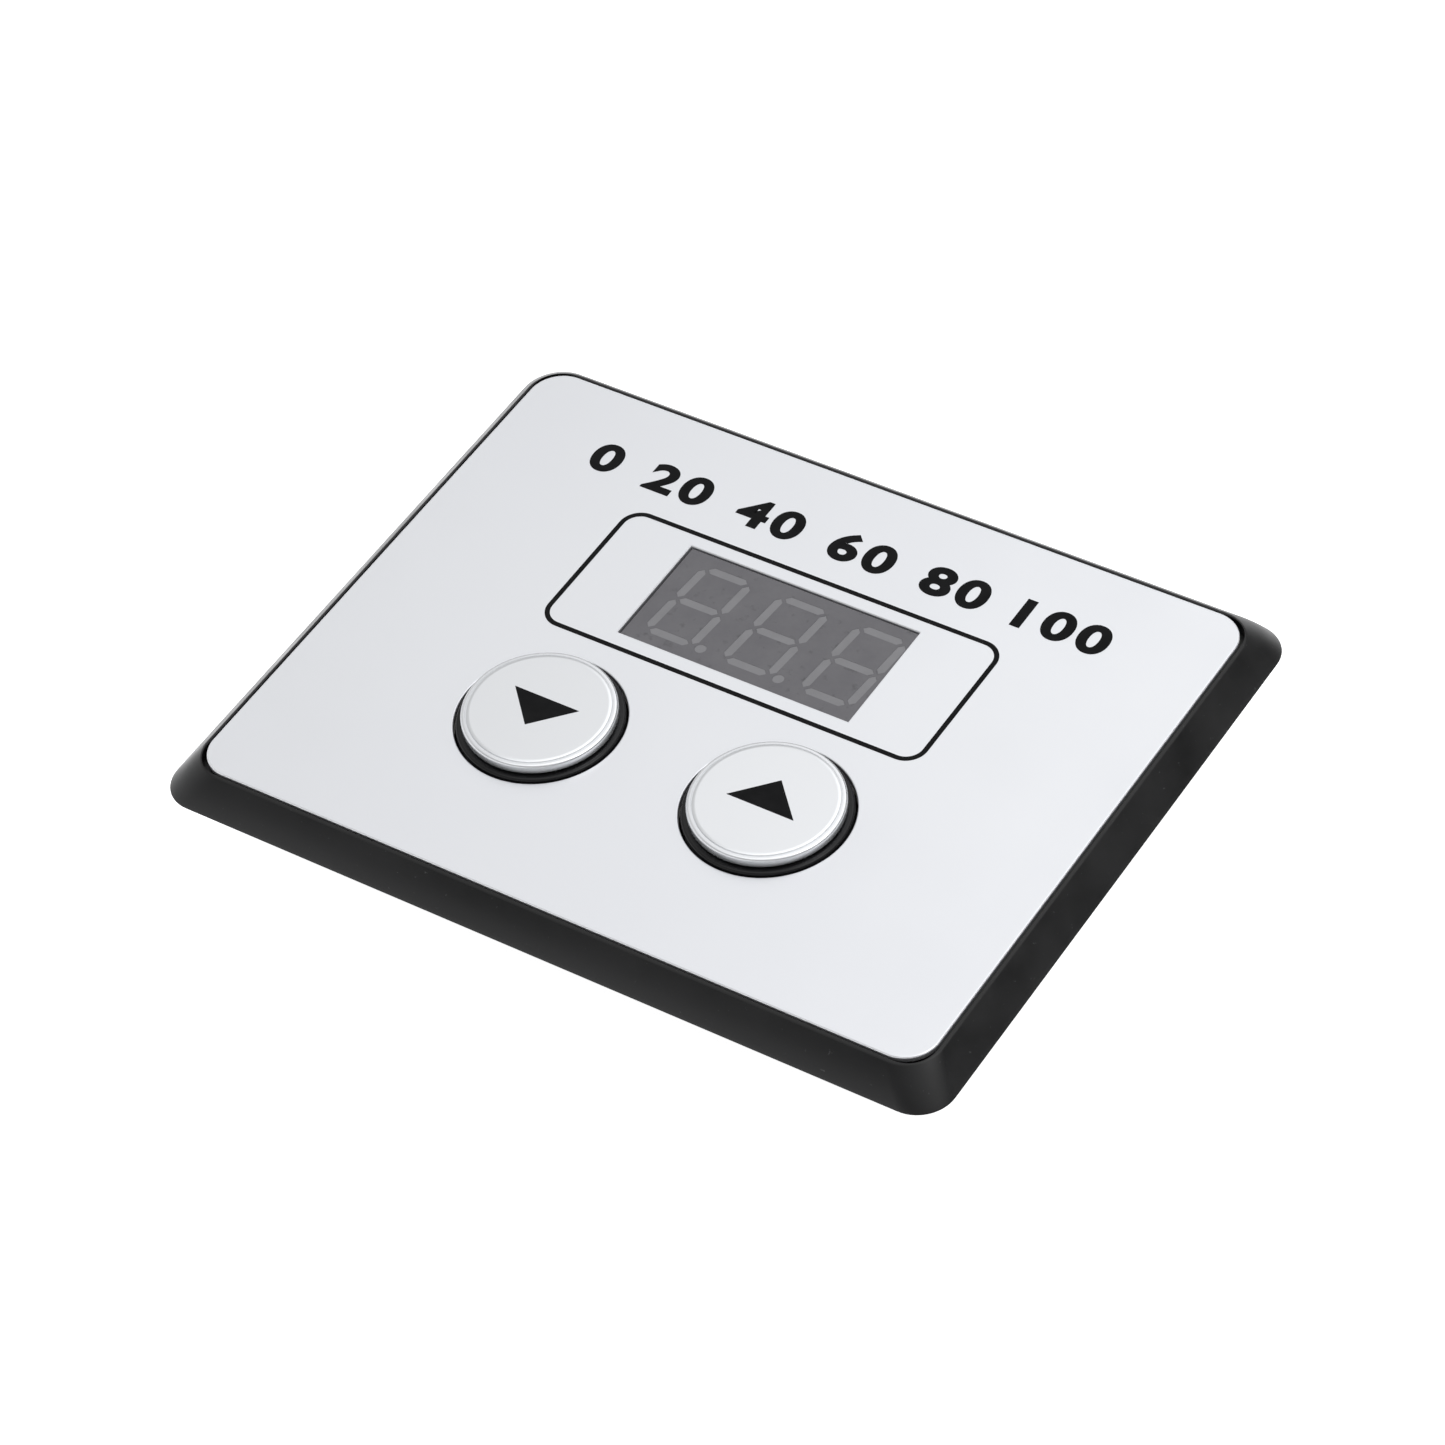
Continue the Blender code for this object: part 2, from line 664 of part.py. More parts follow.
def make_display():
    place = (DISPLAY_X, DISPLAY_Y, 0)
    board_top = MODULE_Z0 + DISPLAY_BOARD_T
    base_low = board_top + FIT
    base_high = base_low + DIFFUSER_T
    board = part("display_board", slab(CASE_X, CASE_Y, MODULE_Z0, board_top), BOARD_GREEN, place)
    pins_low = BOARD_Z0 - PIN_REACH
    join(board, rods(display_pins(), PIN_R, pins_low, MODULE_Z0 + LEAD_ROOT, PIN_STEPS), place)
    diffuser = part("display_diffuser", slab(CASE_X, CASE_Y, base_low, base_high), SEGMENT, place)
    bars_low = base_high - DIFFUSER_T / 2
    join(diffuser, prism(display_outlines(0.0), bars_low, FACE_Z - DIFFUSER_RECESS), place)
    case = part("display_case", slab(CASE_X, CASE_Y, base_high + FIT, FACE_Z), DISPLAY_GREY, place)
    cut(case, prism(display_outlines(WELL_GAP), base_low, TOP_Z), place)


# ---------------------------------------------------------------- push buttons and switches


def button_heights():
    """The heights that the cap, the body and the switch share."""
    cap_top = PLATE_Z1 + CAP_RISE
    cap_low = cap_top - CAP_H
    shoulder = cap_low - FIT
    ceiling = shoulder - BUTTON_TOP_T
    return cap_top, cap_low, shoulder, ceiling


def make_button_cap(name, place):
    cap_top, cap_low, _, _ = button_heights()
    radius = CAP_D / 2
    profile = [(0, cap_top)]
    profile += arc(radius - CAP_ROUND, cap_top - CAP_ROUND, CAP_ROUND, 90, 0, RIM_STEPS)
    profile += [
        (radius, cap_low),
        (radius - CAP_T, cap_low),
        (radius - CAP_T, cap_top - CAP_T),
        (0, cap_top - CAP_T),
    ]
    turned_part(name, profile, SILVER_CAP, place)


def make_button_body(name, place):
    cap_top, _, shoulder, ceiling = button_heights()
    collar = BUTTON_HOLE_D / 2 - FIT
    seat = CAP_D / 2 - CAP_T - FIT
    lip_top = DECK_Z0 - FIT
    post_low = BOARD_Z1 + PLUNGER_TOP + BUTTON_TRAVEL * (1 - PLUNGER_SHARE) + STEP
    profile = [
        (0, cap_top - CAP_T - FIT),
        (seat, cap_top - CAP_T - FIT),
        (seat, shoulder),
        (collar - BUTTON_CHAMFER, shoulder),
        (collar, shoulder - BUTTON_CHAMFER),
        (collar, lip_top),
        (LIP_R, lip_top),
        (LIP_R, lip_top - BUTTON_LIP_T),
        (collar - BUTTON_WALL, lip_top - BUTTON_LIP_T),
        (collar - BUTTON_WALL, ceiling),
        (POST_D / 2, ceiling),
        (POST_D / 2, post_low),
        (0, post_low),
    ]
    turned_part(name, profile, BLACK_BUTTON, place)


def make_return_spring(name, place):
    """A coil with a close turn at each end, between the board and the ceiling of the button body."""
    _, _, _, ceiling = button_heights()
    low = BOARD_Z1 + FIT + SPRING_WIRE / 2
    high = ceiling - FIT - SPRING_WIRE / 2
    pitch = (high - low - 2 * SPRING_END_PITCH) / SPRING_TURNS
    turns = SPRING_TURNS + 2
    curve = bpy.data.curves.new(name, "CURVE")
    curve.dimensions = "3D"
    curve.bevel_depth = SPRING_WIRE / 2
    curve.bevel_resolution = 2
    curve.use_fill_caps = True
    spline = curve.splines.new("POLY")
    spline.points.add(turns * SPRING_STEPS)
    for index, point in enumerate(spline.points):
        turn = index / SPRING_STEPS
        first = min(turn, 1) * SPRING_END_PITCH
        active = min(max(turn - 1, 0), SPRING_TURNS) * pitch
        last = max(turn - 1 - SPRING_TURNS, 0) * SPRING_END_PITCH
        angle = 2 * math.pi * turn
        radius = SPRING_D / 2
        point.co = (radius * math.cos(angle), radius * math.sin(angle), low + first + active + last, 1)
    part(name, curve, SPRING_STEEL, place)


def switch_legs():
    return [(sx * LEG_X, sy * LEG_Y) for sx, sy in CORNERS]


def make_switch(name, place):
    """The body with its four legs, the metal plate over it and the plunger between them."""
    low = MODULE_Z0
    high = low + SWITCH_H
    body = part(f"{name}_switch_body", slab(SWITCH_W, SWITCH_W, low, high), BLACK_SWITCH, place)
    cut(body, rods([(0, 0)], SWITCH_WELL_D / 2, high - SWITCH_WELL_DEPTH, 2 * high, SMALL_STEPS), place)
    join(body, blocks(switch_legs(), LEG_W, LEG_W, BOARD_Z0 - PIN_REACH, low + LEAD_ROOT), place)
    plate_low = high + FIT
    plate_high = plate_low + SWITCH_PLATE_T
    plate = part(f"{name}_switch_plate", slab(SWITCH_W, SWITCH_W, plate_low, plate_high), STEEL, place)
    cut(plate, rods([(0, 0)], PLUNGER_D / 2 + FIT, low, 2 * high, SMALL_STEPS), place)
    foot_top = plate_low - FIT
    stem = PLUNGER_D / 2
    foot = SWITCH_WELL_D / 2 - FIT
    plunger_top = BOARD_Z1 + PLUNGER_TOP
    profile = [
        (0, plunger_top),
        (stem, plunger_top),
        (stem, foot_top),
        (foot, foot_top),
        (foot, foot_top - PLUNGER_FOOT_T),
        (0, foot_top - PLUNGER_FOOT_T),
    ]
    turned_part(f"{name}_switch_plunger", profile, BLACK_SWITCH, place, SMALL_STEPS)


# ---------------------------------------------------------------- circuit board and its parts


def moved(places, centre):
    return [(centre[0] + x, centre[1] + y) for x, y in places]


def network_pins():
    return [(x, y) for y, x in pin_row(NETWORK_PINS, NETWORK_PITCH)]


def header_pins():
    return [(x, y) for y, x in pin_row(HEADER_PINS, HEADER_PITCH)]


def make_main_board():
    size_x = INNER_X - 2 * BOARD_GAP
    size_y = INNER_Y - 2 * BOARD_GAP
    board = part("main_board", slab(size_x, size_y, BOARD_Z0, BOARD_Z1), BOARD_GREEN)
    below = BOARD_Z0 - BOARD_T
    above = BOARD_Z1 + BOARD_T
    cut(board, rods(COVER_BOSSES, BOSS_R + FIT, below, above, SMALL_STEPS))
    cut(board, rods(BOARD_BOSSES, SHANK_R + FIT, below, above, SMALL_STEPS))
    pins = moved(display_pins(), (DISPLAY_X, DISPLAY_Y))
    pins += moved(network_pins(), NETWORK_PLACE)
    pins += moved(pin_row(2, CAPACITOR_PINS), CAPACITOR_PLACE)
    pins += moved(pin_row(2, CRYSTAL_PINS), CRYSTAL_PLACE)
    cut(board, rods(pins, PIN_R + FIT, below, above, PIN_STEPS))
    legs = [leg for place in BUTTONS.values() for leg in moved(switch_legs(), place)]
    cut(board, blocks(legs, LEG_W + 2 * FIT, LEG_W + 2 * FIT, below, above))
    header_hole = HEADER_PIN_W + 2 * FIT
    cut(board, blocks(moved(header_pins(), HEADER_PLACE), header_hole, header_hole, below, above))


def make_chip(name, place, size_x, size_y, height, leads):
    """A surface-mounted chip: its body hangs under the board, with a row of leads on each long side."""
    top = PARTS_Z - CHIP_LEAD_T / 2
    chip = part(name, slab(size_x, size_y, top - height, top), CHIP_BLACK, place)
    row_y = size_y / 2 + CHIP_LEAD_L / 2 - CHIP_LEAD_ROOT
    feet = pin_row(leads, CHIP_LEAD_PITCH, row_y) + pin_row(leads, CHIP_LEAD_PITCH, -row_y)
    join(chip, blocks(feet, CHIP_LEAD_W, CHIP_LEAD_L, PARTS_Z - CHIP_LEAD_T, PARTS_Z), place)


def make_resistor_network():
    body = part(
        "resistor_network",
        slab(NETWORK_X, NETWORK_Y, PARTS_Z - NETWORK_H, PARTS_Z, NETWORK_R),
        NETWORK_YELLOW,
        NETWORK_PLACE,
    )
    pins = rods(network_pins(), PIN_R, PARTS_Z - LEAD_ROOT, BOARD_Z1 + PIN_REACH, PIN_STEPS)
    join(body, pins, NETWORK_PLACE)


def make_electrolytic_capacitor():
    radius = CAPACITOR_R
    low = PARTS_LOW
    neck = PARTS_Z - CAN_GROOVE_Z
    profile = [
        (0, PARTS_Z),
        (radius, PARTS_Z),
        (radius, neck),
        (radius - CAN_GROOVE, neck - CAN_GROOVE),
        (radius, neck - 2 * CAN_GROOVE),
        (radius, low + CAN_GROOVE),
        (radius - CAN_GROOVE, low),
        (0, low),
    ]
    can = turned_part("electrolytic_capacitor", profile, CAN_BLUE, CAPACITOR_PLACE, SMALL_STEPS)
    leads = rods(pin_row(2, CAPACITOR_PINS), PIN_R, PARTS_Z - LEAD_ROOT, BOARD_Z1 + PIN_REACH, PIN_STEPS)
    join(can, leads, CAPACITOR_PLACE)


def make_crystal():
    body = part(
        "crystal",
        slab(CRYSTAL_X, CRYSTAL_Y, PARTS_Z - CRYSTAL_H, PARTS_Z, CRYSTAL_R),
        STEEL,
        CRYSTAL_PLACE,
    )
    leads = rods(pin_row(2, CRYSTAL_PINS), PIN_R, PARTS_Z - LEAD_ROOT, BOARD_Z1, PIN_STEPS)
    join(body, leads, CRYSTAL_PLACE)


def make_voltage_regulator():
    """A flat three-leg regulator: the tab lies on the board on one side, two legs on the other."""
    body = part(
        "voltage_regulator",
        slab(REGULATOR_X, REGULATOR_Y, PARTS_Z - REGULATOR_H, PARTS_Z),
        CHIP_BLACK,
        REGULATOR_PLACE,
    )
    tab_y = REGULATOR_Y / 2 + REGULATOR_TAB_Y / 2 - CHIP_LEAD_ROOT
    tab_low = PARTS_Z - REGULATOR_TAB_T
    tab_high = PARTS_Z - STEP
    tab = blocks([(0, tab_y)], REGULATOR_TAB_X, REGULATOR_TAB_Y, tab_low, tab_high)
    join(body, tab, REGULATOR_PLACE)
    legs = [(side * REGULATOR_LEG_X, -tab_y) for side in (-1, 1)]
    join(body, blocks(legs, LEG_W, REGULATOR_TAB_Y, tab_low, tab_high), REGULATOR_PLACE)


def make_cable_header():
    """An open shroud that looks out of the rear cover, with two key slots in one long wall."""
    low = PARTS_LOW
    shroud = part("cable_header", slab(HEADER_X, HEADER_Y, low, PARTS_Z), HEADER_WHITE, HEADER_PLACE)
    socket_x = HEADER_X - 2 * HEADER_WALL
    socket_y = HEADER_Y - 2 * HEADER_WALL
    floor = PARTS_Z - HEADER_BASE
    cut(shroud, slab(socket_x, socket_y, 0, floor), HEADER_PLACE)
    keys = [(HEADER_X / 2, side * HEADER_PITCH) for side in (-1, 1)]
    cut(shroud, blocks(keys, 4 * HEADER_WALL, HEADER_KEY_W, 0, (low + floor) / 2), HEADER_PLACE)
    hole = HEADER_PIN_W + 2 * FIT
    cut(shroud, blocks(header_pins(), hole, hole, floor - HEADER_BASE, BOARD_Z0), HEADER_PLACE)
    for number, (x, y) in enumerate(moved(header_pins(), HEADER_PLACE), 1):
        pin = blocks([(0, 0)], HEADER_PIN_W, HEADER_PIN_W, floor - HEADER_PIN_REACH, BOARD_Z1 + PIN_REACH)
        part(f"header_pin_{number}", pin, BRASS, (x, y, 0))


def make_board_parts():
    make_chip("controller_chip", CONTROLLER_PLACE, CONTROLLER_X, CONTROLLER_Y, CONTROLLER_H, CONTROLLER_LEADS)
    make_chip("driver_chip", DRIVER_PLACE, DRIVER_X, DRIVER_Y, DRIVER_H, DRIVER_LEADS)
    make_resistor_network()
    make_electrolytic_capacitor()
    make_crystal()
    make_voltage_regulator()
    make_cable_header()


def shade_round_parts():
    for obj in PARTS.objects:
        if obj.type == "MESH":
            obj.data.shade_smooth()
            obj.data.set_sharp_from_angle(angle=math.radians(40))


clear_scene()
PARTS = new_collection("control_panel")
CUTTERS = new_collection("cutters")

SILVER_PLATE = finish("silver_plate", (0.80, 0.81, 0.83), 0.35, 0.6)
SILVER_CAP = finish("silver_cap", (0.82, 0.83, 0.85), 0.25, 0.8)
BLACK_CASE = finish("black_case", (0.020, 0.020, 0.021), 0.45)
BLACK_BUTTON = finish("black_button", (0.012, 0.012, 0.013), 0.35)
DISPLAY_GREY = finish("display_grey", (0.14, 0.14, 0.15), 0.45)
SEGMENT = finish("segment", (0.24, 0.24, 0.25), 0.35)
ADHESIVE = finish("adhesive", (0.60, 0.60, 0.58), 0.8)
FOAM = finish("foam", (0.03, 0.03, 0.03), 0.95)
BOARD_GREEN = finish("board_green", (0.02, 0.14, 0.05), 0.4)
STEEL = finish("steel", (0.60, 0.60, 0.62), 0.3, 1.0)
SPRING_STEEL = finish("spring_steel", (0.50, 0.50, 0.52), 0.3, 1.0)
BLACK_SWITCH = finish("black_switch", (0.015, 0.015, 0.015), 0.5)
CHIP_BLACK = finish("chip_black", (0.02, 0.02, 0.02), 0.6)
NETWORK_YELLOW = finish("network_yellow", (0.75, 0.55, 0.10), 0.5)
CAN_BLUE = finish("can_blue", (0.02, 0.04, 0.16), 0.35)
HEADER_WHITE = finish("header_white", (0.75, 0.73, 0.66), 0.5)
BRASS = finish("brass", (0.75, 0.60, 0.30), 0.3, 1.0)

make_bezel_housing()
make_front_plate()
make_adhesive_sheet()
make_panel_gasket()
make_rear_cover()
make_cover_screws()
make_main_board()
make_board_screws()
make_board_parts()
make_display()
for button, axis_place in BUTTONS.items():
    make_button_cap(f"{button}_button_cap", axis_place)
    make_button_body(f"{button}_button_body", axis_place)
    make_return_spring(f"{button}_return_spring", axis_place)
    make_switch(button, axis_place)
for clip_side, clip_name in ((-1, "left"), (1, "right")):
    make_clip(f"{clip_name}_panel_clip", clip_side)
    make_clip_screw(f"{clip_name}_clip_screw", clip_side)
shade_round_parts()
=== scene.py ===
"""Looks for a flush-mounted control panel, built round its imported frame."""

import math

import bmesh
import bpy
from mathutils import Matrix, Vector


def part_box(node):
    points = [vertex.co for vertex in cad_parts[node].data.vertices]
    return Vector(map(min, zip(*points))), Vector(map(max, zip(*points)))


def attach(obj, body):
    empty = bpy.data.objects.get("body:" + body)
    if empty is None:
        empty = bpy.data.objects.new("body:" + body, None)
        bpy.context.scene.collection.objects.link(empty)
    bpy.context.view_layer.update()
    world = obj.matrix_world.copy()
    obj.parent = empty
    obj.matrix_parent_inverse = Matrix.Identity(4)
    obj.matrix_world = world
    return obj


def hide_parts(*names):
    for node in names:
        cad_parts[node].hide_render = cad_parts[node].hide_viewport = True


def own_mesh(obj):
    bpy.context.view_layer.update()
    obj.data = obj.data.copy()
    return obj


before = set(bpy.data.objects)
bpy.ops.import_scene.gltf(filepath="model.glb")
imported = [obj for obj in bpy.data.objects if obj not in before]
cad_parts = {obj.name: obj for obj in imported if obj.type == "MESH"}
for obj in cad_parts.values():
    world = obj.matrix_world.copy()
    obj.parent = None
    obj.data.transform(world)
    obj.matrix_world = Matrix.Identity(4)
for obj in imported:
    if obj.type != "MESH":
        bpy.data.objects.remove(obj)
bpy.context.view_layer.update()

# Metres throughout. GAP is the clearance that the frame leaves between two pieces, PAST is how far
# a cutter reaches beyond the face that it cuts, and INK is half the thickness of a printed mark.
GAP = 0.0003
PAST = 0.001
INK = 0.00003
EDGE_ROUND = 0.0002
CORNERS = ((-1, -1), (1, -1), (1, 1), (-1, 1))
PANEL = "panel"


# ---------------------------------------------------------------- working by hand


def deselect_all():
    bpy.ops.object.select_all(action="DESELECT")


def take(piece):
    """Makes the piece the only one selected."""
    deselect_all()
    piece.select_set(True)
    bpy.context.view_layer.objects.active = piece


def settle(piece):
    """Puts the piece's place, turn and size into its mesh."""
    take(piece)
    bpy.ops.object.transform_apply(location=True, rotation=True, scale=True)
    return piece


def new_piece(name):
    piece = bpy.context.object
    piece.name = name
    piece.data.name = name
    return settle(piece)


def block(name, low, high):
    """A block between two corners."""
    deselect_all()
    low, high = Vector(low), Vector(high)
    bpy.ops.mesh.primitive_cube_add(size=1, location=(low + high) / 2)
    bpy.context.object.scale = high - low
    return new_piece(name)


def rod(name, place, radius, z_low, z_high, steps=48, turn=(0, 0, 0)):
    """A round rod that stands on its place."""
    deselect_all()
    middle = (place[0], place[1], (z_low + z_high) / 2)
    bpy.ops.mesh.primitive_cylinder_add(
        vertices=steps, radius=radius, depth=z_high - z_low, location=middle, rotation=turn
    )
    return new_piece(name)


def turned(name, place, stations, steps=96):
    """A disc drawn out ring by ring through stations of radius and height, closed at both ends."""
    deselect_all()
    radius, height = stations[0]
    bpy.ops.mesh.primitive_circle_add(
        vertices=steps, radius=radius, fill_type="NGON", location=(place[0], place[1], height)
    )
    piece = new_piece(name)
    bpy.ops.object.mode_set(mode="EDIT")
    bpy.ops.mesh.select_all(action="SELECT")
    for next_radius, next_height in stations[1:]:
        bpy.ops.mesh.extrude_region_move(
            TRANSFORM_OT_translate={"value": (0, 0, next_height - height)}
        )
        if next_radius != radius:
            share = next_radius / radius
            centre = (place[0], place[1], next_height)
            bpy.ops.transform.resize(value=(share, share, 1), center_override=centre)
        radius, height = next_radius, next_height
    leave_edit()
    return face_outward(piece)


def quarter(middle_r, middle_z, radius, start, end, steps=5):
    """Stations along an arc, angles in degrees, for a rounded edge."""
    angles = [math.radians(start + (end - start) * step / steps) for step in range(steps + 1)]
    return [(middle_r + radius * math.cos(a), middle_z + radius * math.sin(a)) for a in angles]


def choose(piece, kind, wanted):
    """Goes into edit mode with only the wanted points, edges or faces selected."""
    take(piece)
    bpy.ops.object.mode_set(mode="EDIT")
    bpy.ops.mesh.select_mode(type=kind)
    bpy.ops.mesh.select_all(action="DESELECT")
    shape = bmesh.from_edit_mesh(piece.data)
    for item in {"VERT": shape.verts, "EDGE": shape.edges, "FACE": shape.faces}[kind]:
        item.select_set(bool(wanted(item)))
    shape.select_flush_mode()
    bmesh.update_edit_mesh(piece.data)


def leave_edit():
    bpy.ops.object.mode_set(mode="OBJECT")


def face_outward(piece):
    take(piece)
    bpy.ops.object.mode_set(mode="EDIT")
    bpy.ops.mesh.select_all(action="SELECT")
    bpy.ops.mesh.remove_doubles(threshold=0.000001)
    bpy.ops.mesh.normals_make_consistent(inside=False)
    leave_edit()
    return piece


def bevel(piece, wanted, width, segments):
    choose(piece, "EDGE", wanted)
    bpy.ops.mesh.bevel(
        offset=width, segments=segments, profile=0.5, affect="EDGES", clamp_overlap=True
    )
    leave_edit()


def is_upright(edge):
    a, b = (vert.co for vert in edge.verts)
    return abs(a.x - b.x) < 1e-6 and abs(a.y - b.y) < 1e-6


def lies_at(height):
    return lambda edge: all(abs(vert.co.z - height) < 1e-6 for vert in edge.verts)


def round_rim(piece, height, width, segments=3):
    """Rounds every edge that lies at a height."""
    bevel(piece, lies_at(height), width, segments)


def draw_in(piece, height, inset_x, inset_y):
    """Draws the points at a height in towards the middle, each corner as a whole."""
    for side_x, side_y in CORNERS:
        choose(
            piece,
            "VERT",
            lambda vert: abs(vert.co.z - height) < 1e-6
            and vert.co.x * side_x > 0
            and vert.co.y * side_y > 0,
        )
        bpy.ops.transform.translate(value=(-side_x * inset_x, -side_y * inset_y, 0))
        leave_edit()


def carve(piece, *cutters, operation="DIFFERENCE"):
    """Cuts the cutters from the piece, or joins them on, and takes them away."""
    for cutter in cutters:
        take(piece)
        modifier = piece.modifiers.new("carve", "BOOLEAN")
        modifier.operation = operation
        modifier.solver = "EXACT"
        modifier.object = cutter
        bpy.ops.object.modifier_apply(modifier=modifier.name)
        bpy.data.objects.remove(cutter)
    return piece


def weld(piece, *additions):
    return carve(piece, *additions, operation="UNION")


def join(piece, *others):
    """Makes several loose shapes one mesh."""
    take(piece)
    for other in others:
        other.select_set(True)
    bpy.ops.object.join()
    return piece


def copy_of(piece, name, shift=(0, 0, 0), turn=None):
    made = piece.copy()
    made.data = piece.data.copy()
    made.name = name
    bpy.context.scene.collection.objects.link(made)
    if turn:
        made.data.transform(turn)
    made.data.transform(Matrix.Translation(shift))
    return made


def dress(piece, look, body=PANEL, stands_for=(), smooth=30):
    """Smooths the piece, gives it its finish and lets it ride."""
    face_outward(piece)
    take(piece)
    bpy.ops.object.shade_smooth_by_angle(angle=math.radians(smooth))
    even = piece.modifiers.new("even", "WEIGHTED_NORMAL")
    even.keep_sharp = True
    bpy.ops.object.modifier_apply(modifier=even.name)
    piece.data.materials.clear()
    piece.data.materials.append(look)
    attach(piece, body)
    if stands_for:
        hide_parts(*stands_for)
    return piece


# ---------------------------------------------------------------- finishes


class Finish:
    """A Principled surface with object-space patterns for its colour, gloss and relief."""

    def __init__(self, name, color, roughness, metallic=0.0, coat=0.0, specular=0.5):
        self.material = bpy.data.materials.new(name)
        self.material.use_nodes = True
        tree = self.material.node_tree
        self.nodes, self.links = tree.nodes, tree.links
        self.shader = self.nodes["Principled BSDF"]
        self.color, self.roughness = color, roughness
        self.shader.inputs["Base Color"].default_value = (*color, 1)
        self.shader.inputs["Roughness"].default_value = roughness
        self.shader.inputs["Metallic"].default_value = metallic
        self.shader.inputs["Coat Weight"].default_value = coat
        self.shader.inputs["Coat Roughness"].default_value = 0.12
        self.shader.inputs["Specular IOR Level"].default_value = specular
        self.place = self.nodes.new("ShaderNodeTexCoord").outputs["Object"]
        self.relief = None

    def noise(self, scale, detail=3.0, stretch=(1, 1, 1), rough=0.55):
        """Cloudy noise with this many waves a metre."""
        mapping = self.nodes.new("ShaderNodeMapping")
        mapping.inputs["Scale"].default_value = stretch
        texture = self.nodes.new("ShaderNodeTexNoise")
        texture.inputs["Scale"].default_value = scale
        texture.inputs["Detail"].default_value = detail
        texture.inputs["Roughness"].default_value = rough
        self.links.new(self.place, mapping.inputs["Vector"])
        self.links.new(mapping.outputs["Vector"], texture.inputs["Vector"])
        return texture.outputs["Fac"]

    def cells(self, scale):
        """Round cells with this many a metre."""
        texture = self.nodes.new("ShaderNodeTexVoronoi")
        texture.inputs["Scale"].default_value = scale
        self.links.new(self.place, texture.inputs["Vector"])
        return texture.outputs["Distance"]

    def spread(self, value, low, high, to_low=0.0, to_high=1.0):
        """Stretches a pattern's range."""
        node = self.nodes.new("ShaderNodeMapRange")
        node.inputs["From Min"].default_value = low
        node.inputs["From Max"].default_value = high
        node.inputs["To Min"].default_value = to_low
        node.inputs["To Max"].default_value = to_high
        self.links.new(value, node.inputs["Value"])
        return node.outputs["Result"]

    def shade(self, value, other, low=0.3, high=0.7):
        """Turns the colour towards another where the pattern is high."""
        node = self.nodes.new("ShaderNodeMix")
        node.data_type = "RGBA"
        socket = self.shader.inputs["Base Color"]
        if socket.is_linked:
            self.links.new(socket.links[0].from_socket, node.inputs["A"])
        else:
            node.inputs["A"].default_value = (*self.color, 1)
        node.inputs["B"].default_value = (*other, 1)
        self.links.new(self.spread(value, low, high), node.inputs["Factor"])
        self.links.new(node.outputs["Result"], socket)

    def gloss(self, value, change, low=0.3, high=0.7):
        """Lets the roughness wander by a change to each side."""
        made = self.spread(value, low, high, self.roughness - change, self.roughness + change)
        self.links.new(made, self.shader.inputs["Roughness"])

    def emboss(self, value, height, strength=1.0):
        """Raises the surface by a height where the pattern is high."""
        node = self.nodes.new("ShaderNodeBump")
        node.inputs["Distance"].default_value = height
        node.inputs["Strength"].default_value = strength
        self.links.new(value, node.inputs["Height"])
        if self.relief:
            self.links.new(self.relief, node.inputs["Normal"])
        self.relief = node.outputs["Normal"]
        self.links.new(self.relief, self.shader.inputs["Normal"])


def make_silver_film():
    """Satin silver: a film with a very fine metallic grain."""
    made = Finish("silver_plate", (0.84, 0.85, 0.87), 0.36, metallic=0.8)
    made.shade(made.noise(14, 2), (0.82, 0.83, 0.855))
    made.gloss(made.noise(55, 4), 0.035)
    made.emboss(made.noise(9000, 2), 0.000004, 0.35)
    return made.material


def make_cap_silver():
    """Polished silver, smoother than the plate's."""
    made = Finish("silver_cap", (0.84, 0.85, 0.865), 0.26, metallic=0.9)
    made.shade(made.noise(40, 1), (0.825, 0.835, 0.85), 0.1, 0.9)
    made.gloss(made.noise(25, 1), 0.02, 0.1, 0.9)
    return made.material


def make_black_case():
    """Moulded black plastic with a fine spark-eroded texture and a few specks of dust."""
    made = Finish("black_case", (0.0042, 0.0042, 0.0044), 0.36, specular=0.36)
    made.shade(made.noise(38, 4), (0.0075, 0.0075, 0.0078))
    made.shade(made.noise(1500, 2), (0.05, 0.05, 0.052), 0.70, 0.80)
    made.gloss(made.noise(120, 5), 0.07)
    made.emboss(made.noise(3600, 3), 0.000012, 0.4)
    return made.material


def make_button_black():
    made = Finish("black_button", (0.006, 0.006, 0.0065), 0.24, specular=0.28)
    made.shade(made.noise(90, 3), (0.009, 0.009, 0.0095))
    made.gloss(made.noise(260, 4), 0.06)
    made.emboss(made.noise(4000, 2), 0.000004, 0.3)
    return made.material


def make_display_grey():
    """The module's painted face, a little mottled."""
    made = Finish("display_grey", (0.120, 0.117, 0.127), 0.40)
    made.shade(made.noise(190, 5, rough=0.7), (0.144, 0.141, 0.149), 0.35, 0.75)
    made.shade(made.noise(700, 3), (0.088, 0.087, 0.092), 0.60, 0.75)
    made.gloss(made.noise(350, 4), 0.08)
    made.emboss(made.noise(5200, 2), 0.000005, 0.4)
    return made.material


def make_segment_milk():
    made = Finish("segment", (0.224, 0.221, 0.231), 0.42)
    made.shade(made.noise(420, 4), (0.204, 0.202, 0.210))
    made.gloss(made.noise(900, 3), 0.06)
    return made.material


def make_ink():
    made = Finish("black_ink", (0.005, 0.005, 0.0055), 0.6, specular=0.08)
    made.shade(made.noise(300, 3), (0.009, 0.009, 0.0095))
    made.gloss(made.noise(900, 3), 0.07)
    made.emboss(made.noise(9000, 2), 0.000003, 0.3)
    return made.material


def make_foam():
    made = Finish("foam", (0.022, 0.022, 0.022), 0.93, specular=0.2)
    made.shade(made.cells(2600), (0.045, 0.045, 0.045), 0.2, 0.8)
    made.emboss(made.cells(2600), 0.00006, 0.8)
    return made.material


